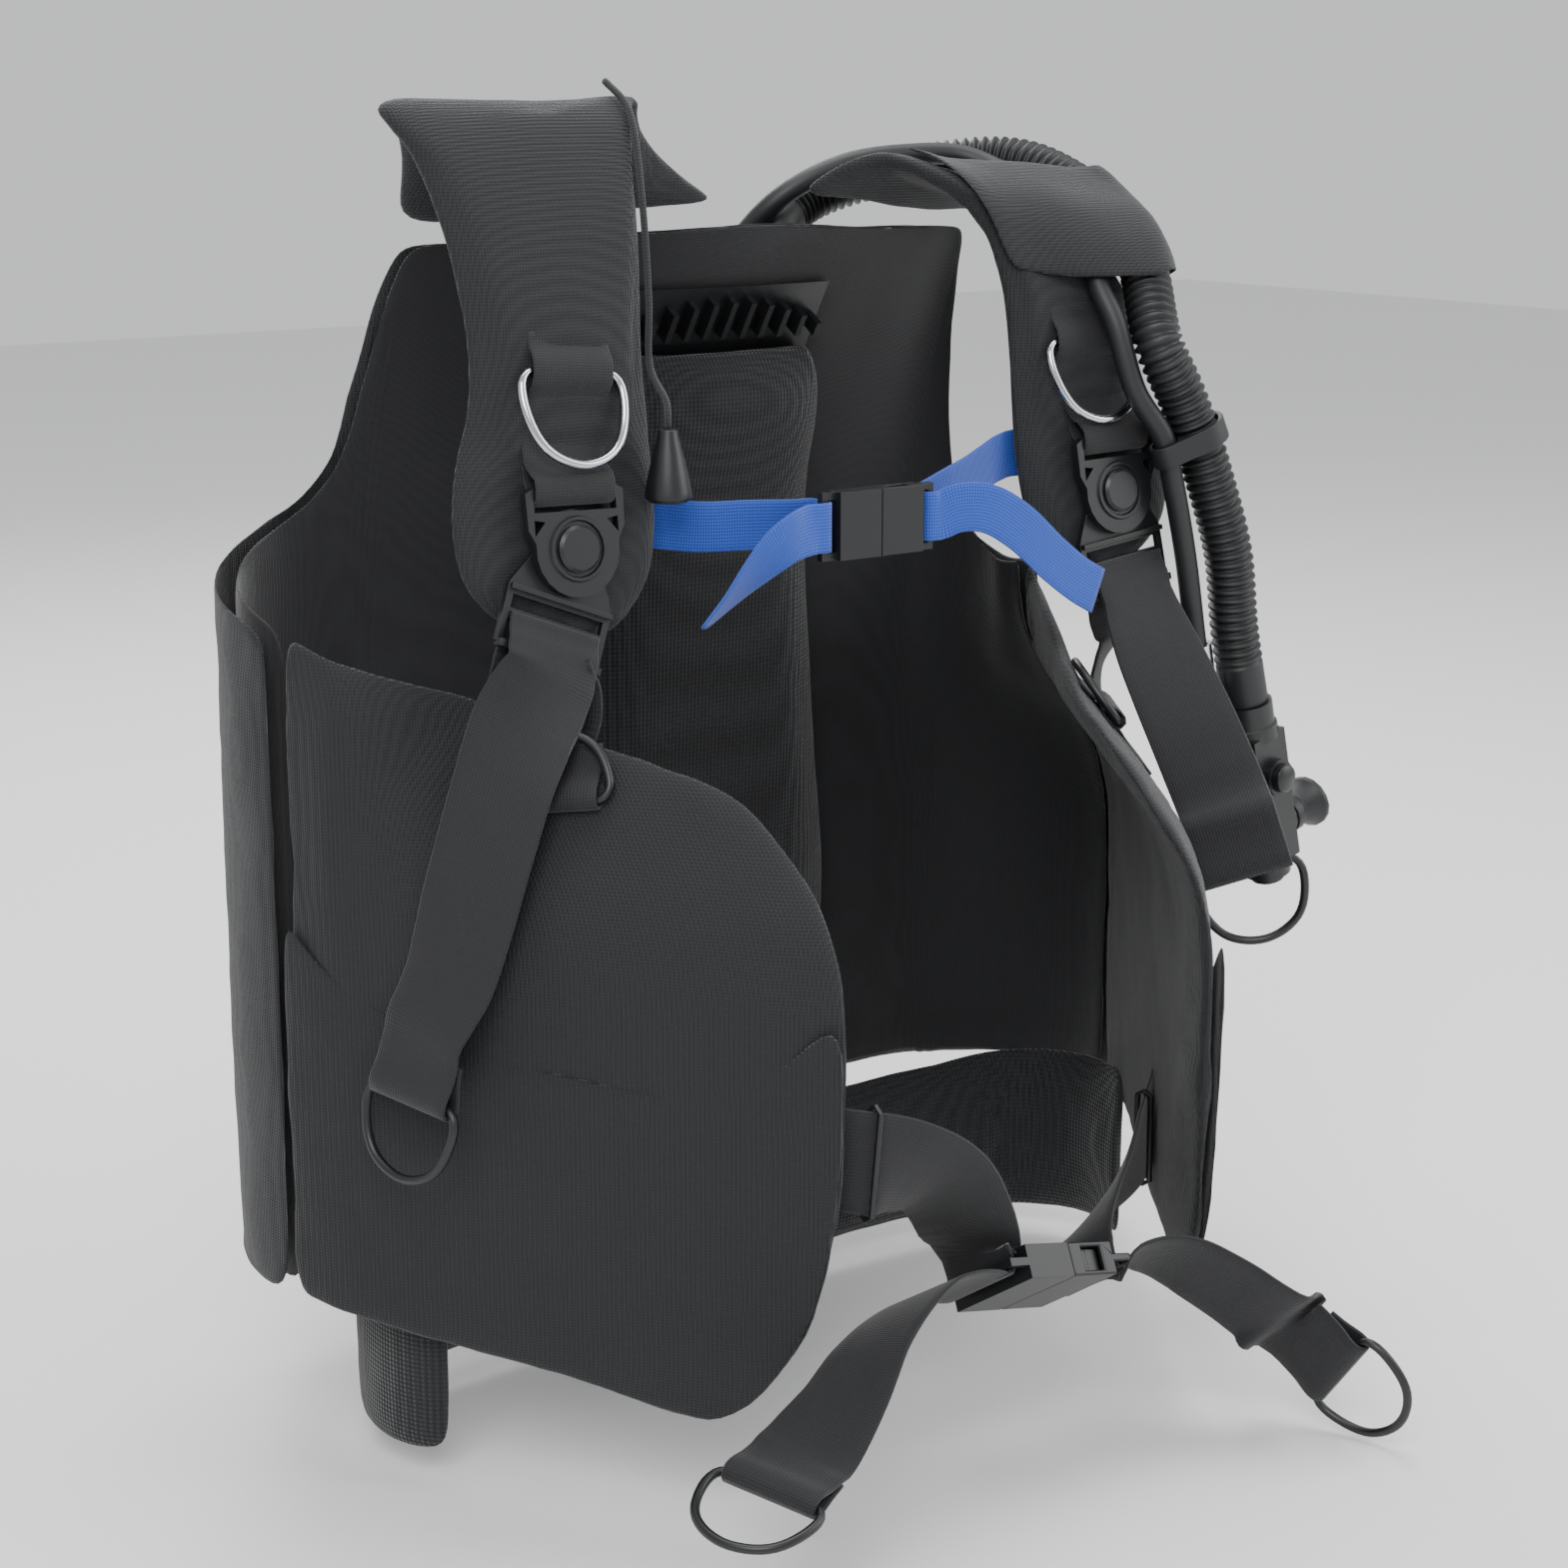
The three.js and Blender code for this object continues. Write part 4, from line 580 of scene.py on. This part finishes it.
MOULDED = {
    # finish: nodes, with the radius that their edges are broken by in mm
    "acetal_moulding": {
        "right_swivel_plate": 0.8, "left_swivel_plate": 0.8, "right_swivel_frame": 0.7,
        "left_swivel_frame": 0.7, "sternum_male": 0.6, "sternum_female": 0.8, "waist_male": 0.8,
        "waist_female": 1.2, "back_plate": 1.2, "cam_buckle": 0.8, "cam_lever": 0.8, "hose_elbow": 0.5,
        "inflator_body": 0.9, "inflate_button": 0.4, "deflate_button": 0.4, "dump_knob": 0.6,
        "right_waist_loop": 0.4, "left_waist_loop": 0.4,
    },
    "chromed_brass": {"qd_collar": 0.3, "lp_fitting": 0.3},
    "moulded_rubber": {"hose_clip": 0.8, "mouthpiece": 0.6},
}
RINGS = {
    "right_chest_ring": ("polished_stainless", "steel"),
    "left_chest_ring": ("polished_stainless", "steel"),
    "right_pull_ring": ("acetal_moulding", "plastic"),
    "left_pull_ring": ("acetal_moulding", "plastic"),
    "right_pocket_ring": ("acetal_moulding", "plastic"),
    "left_pocket_ring": ("acetal_moulding", "plastic"),
    "right_waist_ring": ("acetal_moulding", "plastic"),
    "left_waist_ring": ("acetal_moulding", "plastic"),
}


def body_named(node):
    """The moving body that a CAD solid belongs to."""
    return frame["nodes"][node]["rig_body"]


def broken_edges(obj, radius):
    """Rounds the sharp edges of a moulding, and keeps its flats flat."""
    made = obj.modifiers.new("Edges", "BEVEL")
    made.width = radius
    made.segments = EDGE_SEGMENTS
    made.limit_method = "ANGLE"
    made.angle_limit = SHARP_ANGLE
    made.use_clamp_overlap = True
    flat = obj.modifiers.new("Normals", "WEIGHTED_NORMAL")
    flat.keep_sharp = True
    return settle(obj)


def moulded_copy(node, finish):
    """A merged copy of a CAD solid, with its flat triangles joined into faces."""
    points, triangles = solid_mesh(node)
    obj = mesh_object(f"{node}_moulded", points, triangles, FINISH[finish])
    work = bmesh.new()
    work.from_mesh(obj.data)
    bmesh.ops.dissolve_limit(work, angle_limit=FLAT_ANGLE, verts=work.verts, edges=work.edges)
    work.to_mesh(obj.data)
    work.free()
    return face_out(obj)


def make_mouldings():
    made = {}
    for finish, nodes in MOULDED.items():
        for node, radius in nodes.items():
            obj = broken_edges(moulded_copy(node, finish), radius * MM)
            made[node] = fixed(obj, body_named(node), [node])
    for node, (finish, slot) in RINGS.items():
        made[node] = fixed(smoothed(copy_of(node, finish), 1), body_named(node), [node])
    band = broken_edges(copy_of("tank_band", "nylon_webbing"), 0.4 * MM)
    made["tank_band"] = fixed(band, VEST, ["tank_band"])
    return made


# ---- hoses and cord -----------------------------------------------------------------------------

HOSE_ROUTE = [  # middle of the corrugated hose, from the elbow over the shoulder to the inflator, in mm
    (70.05, 100.30, -78.31), (70.77, 103.91, -66.88), (96, 112, -52), (134, 100, -39), (168, 86, -34),
    (192, 64, -31), (203, 42, -34), (209.87, 8.06, -47.55), (209.68, -12.96, -59.91),
    (208.25, -27.52, -66.71), (203.72, -44.83, -76.63), (198.24, -57.73, -92.44), (189, -78, -122),
    (202, -83, -150), (212, -85, -172), (222, -86, -196), (237, -87, -238), (246, -85, -282),
    (257, -84, -324),
]
FEED_ROUTE = [  # middle of the low pressure hose, from the regulator to the inflator's coupling, in mm
    (30, 150, -330), (31, 151, -262), (36, 150, -190), (40, 138, -130), (44, 116, -86), (60, 92, -52),
    (94, 80, -33), (138, 72, -27), (166, 60, -28), (179, 42, -36), (185.70, 8.60, -47.80),
    (183.24, -11.45, -57.22), (181.19, -26.57, -63.51), (174.42, -42.54, -73.54), (167.45, -52.67, -90.93),
    (169, -66, -112), (176, -76, -148), (189, -84, -172), (197, -84, -196), (210, -82, -238),
    (221, -80, -284), (228, -80, -318),
]
DUMP_ROUTE = [  # middle of the dump valve's cord, from the shoulder to its knob, in mm
    (-103.44, 6.22, 13.61), (-102.55, -10.59, 3.18), (-104.15, -19.56, -7.81), (-109.4, -34.84, -41.72),
    (-112.88, -44.95, -88.97), (-114.8, -48.41, -120.33), (-116.5, -65, -136), (-118, -68, -142),
    (-118, -68, -147.4),
]
HOSE_RADIUS, FEED_RADIUS, DUMP_RADIUS = 13.5 * MM, 6 * MM, 1.8 * MM
HOSE_PITCH, HOSE_SIDES, RIB_STEPS = 5.2 * MM, 28, 8
RIB_DEPTH = 1.3 * MM  # half of the height from valley to crest
CUFF_LENGTH, CUFF_EASE, CUFF_INSET = 26 * MM, 3 * MM, 0.4 * MM
RIB_FULLNESS = 0.7  # under 1 makes crests and valleys rounder and steeper between


def route(points, step):
    """Evenly spaced points on the smooth line through a route's points, and directions round it."""
    p = np.array(points, float) * MM
    gaps = np.linalg.norm(np.diff(p, axis=0), axis=1) ** 0.5
    knots = np.concatenate([[0], np.cumsum(gaps)])
    fine = spline(p, knots, np.linspace(0, knots[-1], 1500))
    run = lengths(fine)
    at = np.linspace(0, run[-1], max(8, int(run[-1] / step)))
    centres = np.stack([np.interp(at, run, fine[:, k]) for k in range(3)], 1)
    along = units(np.gradient(centres, axis=0))
    side = [units(np.cross(along[0], (0.3, 0.2, 0.9)))]
    for t in along[1:]:
        side.append(units(side[-1] - t * (side[-1] @ t)))
    side = np.array(side)
    return centres, side, units(np.cross(along, side)), run[-1]


def tube(name, points, radius_at, step, sides, finish):
    """A round hose along a route; radius_at gives its radius at each distance along it."""
    centres, side, out, total = route(points, step)
    run = np.linspace(0, total, len(centres))
    radii = radius_at(run, total)
    angles = np.arange(sides) * math.tau / sides
    ring = np.stack([np.cos(angles), np.sin(angles)], 1)
    spread = ring[None, :, :] * radii[:, None, None]
    cloud = centres[:, None, :] + side[:, None, :] * spread[..., :1] + out[:, None, :] * spread[..., 1:]
    faces = grid_faces(len(centres), sides, closed=True)
    faces += [tuple(range(sides))[::-1], tuple((len(centres) - 1) * sides + i for i in range(sides))]
    uv = np.stack(np.broadcast_arrays(angles[None, :] * radii.mean(), run[:, None]), -1).reshape(-1, 2)
    return face_out(mesh_object(name, cloud.reshape(-1, 3), faces, FINISH[finish], uv)), centres, total


def corrugated(run, total):
    """Crests and valleys of the bellows, with a plain cuff at each end."""
    at_start = ease(CUFF_LENGTH - run, 0, CUFF_EASE)
    at_end = ease(run - (total - CUFF_LENGTH), 0, CUFF_EASE)
    plain = np.maximum(at_start, at_end)
    crest = np.cos(math.tau * run / HOSE_PITCH)
    ribs = HOSE_RADIUS - RIB_DEPTH + RIB_DEPTH * np.sign(crest) * np.abs(crest) ** RIB_FULLNESS
    return ribs * (1 - plain) + (HOSE_RADIUS - CUFF_INSET) * plain


def even(radius):
    return lambda run, total: np.full(len(run), radius)


def make_hoses():
    """The inflator's hose, the gas hose and the dump cord."""
    step = HOSE_PITCH / RIB_STEPS
    hose, line, total = tube(
        "corrugated_hose_moulded", HOSE_ROUTE, corrugated, step, HOSE_SIDES, "moulded_rubber"
    )
    fixed(hose, VEST, ["corrugated_hose"])
    feed, line, total = tube("lp_hose_moulded", FEED_ROUTE, even(FEED_RADIUS), 3 * MM, 20, "moulded_rubber")
    fixed(feed, VEST, ["lp_hose"])
    pull, line, total = tube("dump_cord_braided", DUMP_ROUTE, even(DUMP_RADIUS), 2 * MM, 10, "braided_cord")
    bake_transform(pull)
    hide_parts("dump_cord")


# ---- studio -------------------------------------------------------------------------------------

CAMERA_AT = (-0.9145, -1.2587, 0.0215)
CAMERA_AIM = (0.0, 0.0, -0.352)
CAMERA_LENS = 68.83
FLOOR_DROP = 2 * MM


def aimed(obj, place, target):
    obj.location = place
    obj.rotation_euler = (Vector(target) - Vector(place)).to_track_quat("-Z", "Y").to_euler()


def make_camera():
    data = bpy.data.cameras.new("studio_camera")
    data.lens = CAMERA_LENS
    obj = bpy.data.objects.new("studio_camera", data)
    bpy.context.scene.collection.objects.link(obj)
    aimed(obj, CAMERA_AT, CAMERA_AIM)
    bpy.context.scene.camera = obj


STUDIO_SIZE = 12
AIR_STRENGTH = 0.85
LIGHTS_AIM = (0, 0, -0.35)
LIGHTS = (  # name, place, size in metres, power in watts
    ("key_light", (-1.6, -1.8, 1.6), 1.6, 62),
    ("fill_light", (1.9, -1.4, 0.8), 1.8, 34),
    ("top_light", (0.2, 0.3, 2.0), 1.6, 42),
    ("rim_light", (0.6, 1.9, 1.2), 1.2, 30),
)


def make_studio(brightness):
    """A pale floor, and soft light from the front left, the right and above."""
    low = CAD_BOX[0][2] - FLOOR_DROP
    bpy.ops.mesh.primitive_plane_add(size=STUDIO_SIZE, location=(0, 0, low))
    floor = bpy.context.object
    floor.name = "studio_floor"
    floor.data.materials.append(FINISH["studio_floor"])
    for name, place, size, power in LIGHTS:
        data = bpy.data.lights.new(name, "AREA")
        data.size, data.energy = size, power * brightness
        lamp = bpy.data.objects.new(name, data)
        bpy.context.scene.collection.objects.link(lamp)
        aimed(lamp, place, LIGHTS_AIM)
    world = bpy.data.worlds.new("studio_air")
    world.use_nodes = True
    world.node_tree.nodes["Background"].inputs[0].default_value = linear("F2F3F5")
    world.node_tree.nodes["Background"].inputs[1].default_value = AIR_STRENGTH
    bpy.context.scene.world = world


# ---- add-on -------------------------------------------------------------------------------------


class VestSettings(bpy.types.PropertyGroup):
    """Sizes and colours that a user would change"""

    weave_pitch: bpy.props.FloatProperty(
        name="Cloth weave", description="Thread spacing of the outer cloth",
        default=OXFORD_THREAD, min=0.2 * MM, unit="LENGTH",
    )
    rib_pitch: bpy.props.FloatProperty(
        name="Webbing ribs", description="Spacing of the ribs along the webbing",
        default=WEBBING_RIB, min=0.2 * MM, unit="LENGTH",
    )
    # The raised threads' blue is the lighter tone, a painted highlight over the darker blue of the gaps,
    # which is painted shade.
    strap_blue: bpy.props.FloatVectorProperty(
        name="Chest strap", description="Colour of the chest strap's raised threads",
        default=linear("2A5BC8")[:3], min=0, max=1, size=3, subtype="COLOR",
    )
    pressure: bpy.props.FloatProperty(
        name="Filling", description="Pressure that the cloth solver fills the pads with",
        default=4.0, min=0, subtype="NONE",
    )
    brightness: bpy.props.FloatProperty(
        name="Studio light", description="Share of the studio lights' full power",
        default=1.0, min=0, subtype="FACTOR", soft_max=2,
    )


class MakeFinishes(bpy.types.Operator):
    """Makes every material of the vest"""

    bl_idname = "vest.finishes"
    bl_label = "Finishes"

    def execute(self, context):
        look = context.scene.vest
        make_finishes(look.weave_pitch, look.rib_pitch, look.strap_blue)
        return {"FINISHED"}


class MakeCamera(bpy.types.Operator):
    """Places the studio camera"""

    bl_idname = "vest.camera"
    bl_label = "Camera"

    def execute(self, context):
        make_camera()
        return {"FINISHED"}


class MakeMouldings(bpy.types.Operator):
    """Makes buckles, rings, valves and fittings"""

    bl_idname = "vest.mouldings"
    bl_label = "Mouldings and metal"

    def execute(self, context):
        make_mouldings()
        return {"FINISHED"}


class MakeHoses(bpy.types.Operator):
    """Makes both hoses and the dump cord"""

    bl_idname = "vest.hoses"
    bl_label = "Hoses and cord"

    def execute(self, context):
        make_hoses()
        return {"FINISHED"}


class MakeCovers(bpy.types.Operator):
    """Makes the sewn and padded pieces"""

    bl_idname = "vest.covers"
    bl_label = "Covers and pads"

    def execute(self, context):
        make_covers(context.scene.vest.pressure)
        return {"FINISHED"}


class MakeWebbing(bpy.types.Operator):
    """Weaves every strap"""

    bl_idname = "vest.webbing"
    bl_label = "Webbing"

    def execute(self, context):
        make_webbing()
        return {"FINISHED"}


class MakeStudio(bpy.types.Operator):
    """Adds the floor and the lights"""

    bl_idname = "vest.studio"
    bl_label = "Studio"

    def execute(self, context):
        make_studio(context.scene.vest.brightness)
        return {"FINISHED"}


STEPS = (MakeFinishes, MakeCamera, MakeMouldings, MakeHoses, MakeCovers, MakeWebbing, MakeStudio)


class VestPanel(bpy.types.Panel):
    """Buttons for each step, in their order"""

    bl_idname = "VIEW3D_PT_buoyancy_vest"
    bl_label = "Buoyancy Vest"
    bl_space_type = "VIEW_3D"
    bl_region_type = "UI"
    bl_category = "Buoyancy Vest"

    def draw(self, context):
        for name in VestSettings.__annotations__:
            self.layout.prop(context.scene.vest, name)
        for step in STEPS:
            self.layout.operator(step.bl_idname)


def register():
    for kind in (VestSettings, *STEPS, VestPanel):
        bpy.utils.register_class(kind)
    bpy.types.Scene.vest = bpy.props.PointerProperty(type=VestSettings)


def unregister():
    del bpy.types.Scene.vest
    for kind in reversed((VestSettings, *STEPS, VestPanel)):
        bpy.utils.unregister_class(kind)


def corners(box):
    return [[float(c) for c in corner] for corner in box]


def main():
    register()
    bpy.ops.vest.finishes()
    bpy.ops.vest.camera()
    bpy.ops.vest.mouldings()
    bpy.ops.vest.hoses()
    bpy.ops.vest.covers()
    bpy.ops.vest.webbing()
    bpy.ops.vest.studio()


if __name__ == "__main__":
    main()
